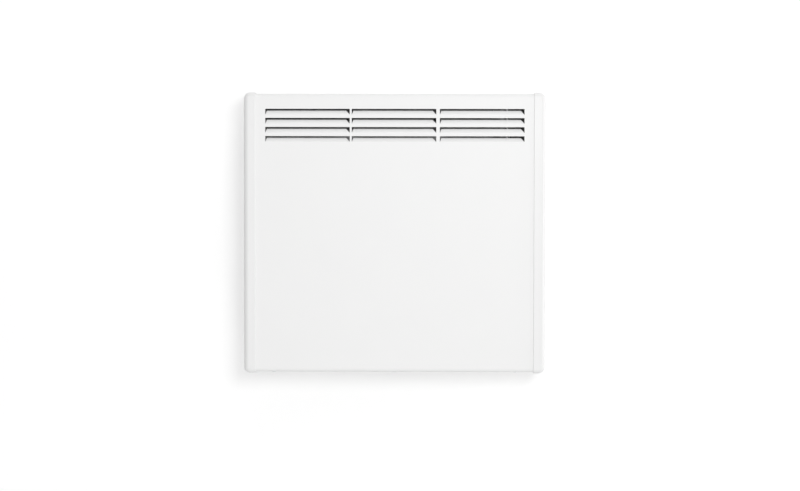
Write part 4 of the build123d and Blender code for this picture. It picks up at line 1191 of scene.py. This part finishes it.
def backdrop_finish(name, rgb, lift):
    """A plain pale surface that only a view of its front sees, with the object's shadow on it."""
    material = bpy.data.materials.new(name)
    tree = Tree(material)
    ray = tree.node("LightPath").outputs
    views = [Number(tree, ray[f"Is {kind} Ray"]) for kind in ("Camera", "Glossy", "Transmission")]
    behind = Number(tree, tree.node("NewGeometry").outputs["Backfacing"])
    plain = tree.node("BsdfDiffuse", None, {"Color": rgb})
    glow = tree.node("Emission", None, {"Strength": lift})
    surface = tree.node("AddShader", None, {0: plain.outputs[0], 1: glow.outputs[0]})
    clear = tree.node("BsdfTransparent")
    seen = tree.node(
        "MixShader",
        None,
        {
            0: (views[0] + views[1] + views[2]).over(0.5) * (1 - behind),
            1: clear.outputs[0],
            2: surface.outputs[0],
        },
    )
    tree.node("OutputMaterial", None, {"Surface": seen.outputs[0]})
    return material


class HEATER_OT_studio(bpy.types.Operator):
    """Set up the camera, the lamps, the wall and the floor"""

    bl_idname = "heater.studio"
    bl_label = "Studio"

    def execute(self, context):
        studio = context.scene.heater_looks.studio
        scene = context.scene
        scene.view_settings.view_transform = "Standard"
        self.stand_up_wall(studio)
        self.light(scene, studio)
        self.aim_camera(scene, studio)
        return {"FINISHED"}

    def stand_up_wall(self, studio):
        """A white wall behind the bracket and a pale floor well below it."""
        start()
        bpy.ops.mesh.primitive_plane_add(size=WALL_WIDTH, location=(0, studio.wall_gap, 0))
        wall = bpy.context.object
        wall.name = "wall"
        wall.rotation_euler = (math.pi / 2, 0, 0)
        bpy.ops.object.transform_apply(location=True, rotation=True, scale=True)
        wall.data.materials.append(backdrop_finish("wall_white", (1, 1, 1), studio.wall_lift))
        start()
        bpy.ops.mesh.primitive_plane_add(size=FLOOR_WIDTH, location=(0, 0, -studio.floor_drop))
        floor = bpy.context.object
        floor.name = "floor"
        bpy.ops.object.transform_apply(location=True, rotation=True, scale=True)
        pale = backdrop_finish("floor_pale", (0.93, 0.93, 0.93), studio.floor_lift)
        floor.data.materials.append(pale)

    def light(self, scene, studio):
        """A plain bright room and soft square lamps all round."""
        scene.world = bpy.data.worlds.new("plain_room")
        tree = Tree(scene.world)
        camera_ray = Number(tree, tree.node("LightPath").outputs["Is Camera Ray"])
        strength = studio.fill + (1 - studio.fill) * camera_ray
        room = tree.node("Background", None, {"Color": (1, 1, 1), "Strength": strength})
        tree.node("OutputWorld", None, {"Surface": room.outputs[0]})
        for name, (right, up, distance, width) in LAMPS.items():
            data = bpy.data.lights.new(name + "_lamp", "AREA")
            data.shape = "SQUARE"
            data.size = width
            data.energy = getattr(studio, name + "_power")
            lamp = bpy.data.objects.new(name + "_lamp", data)
            scene.collection.objects.link(lamp)
            way = direction(math.radians(right), math.radians(up))
            lamp.location = way * distance
            lamp.rotation_euler = way.to_track_quat("Z", "Y").to_euler()

    def aim_camera(self, scene, studio):
        """The photograph's view: almost square on, a little above the middle."""
        data = bpy.data.cameras.new("camera")
        camera = bpy.data.objects.new("camera", data)
        scene.collection.objects.link(camera)
        low, high = cad_box
        aim = seat_in(low, high, 1, low.y) + Vector((studio.aim_right, 0, -studio.aim_down))
        back = direction(studio.yaw, studio.pitch)
        data.sensor_width = 36
        data.lens = data.sensor_width * studio.distance / studio.view_width
        camera.location = aim + back * studio.distance
        turned = back.to_track_quat("Z", "Y").to_matrix() @ Matrix.Rotation(studio.roll, 3, "Z")
        camera.rotation_euler = turned.to_euler()
        scene.camera = camera


class HEATER_PT_looks(bpy.types.Panel):
    """The heater's pieces, sizes and colours, in the order of making"""

    bl_label = "Panel Heater Looks"
    bl_idname = "HEATER_PT_looks"
    bl_space_type = "VIEW_3D"
    bl_region_type = "UI"
    bl_category = "Heater"

    def draw(self, context):
        looks = context.scene.heater_looks
        for group in ("colours", "grain", "fittings", "marks", "studio"):
            box = self.layout.box()
            box.label(text=group.capitalize())
            settings = getattr(looks, group)
            for name in settings.__annotations__:
                box.prop(settings, name)
        for operator in OPERATORS:
            self.layout.operator(operator.bl_idname)


OPERATORS = (
    HEATER_OT_case,
    HEATER_OT_duct,
    HEATER_OT_wiring,
    HEATER_OT_bracket,
    HEATER_OT_controls,
    HEATER_OT_screws,
    HEATER_OT_control_screws,
    HEATER_OT_terminal_screws,
    HEATER_OT_rivets,
    HEATER_OT_dial,
    HEATER_OT_lens,
    HEATER_OT_numbers,
    HEATER_OT_switch_marks,
    HEATER_OT_studio,
)
CLASSES = (
    HeaterColours,
    HeaterGrain,
    HeaterFittings,
    HeaterMarks,
    HeaterStudio,
    HeaterLooks,
    *OPERATORS,
    HEATER_PT_looks,
)


def register():
    """Make the pieces and their settings known."""
    for kind in CLASSES:
        bpy.utils.register_class(kind)
    bpy.types.Scene.heater_looks = bpy.props.PointerProperty(type=HeaterLooks)


def unregister():
    """Forget them again."""
    del bpy.types.Scene.heater_looks
    for kind in reversed(CLASSES):
        bpy.utils.unregister_class(kind)


def main():
    """Make every piece in order."""
    register()
    for operator in OPERATORS:
        group, name = operator.bl_idname.split(".")
        getattr(getattr(bpy.ops, group), name)()


if __name__ == "__main__":
    main()
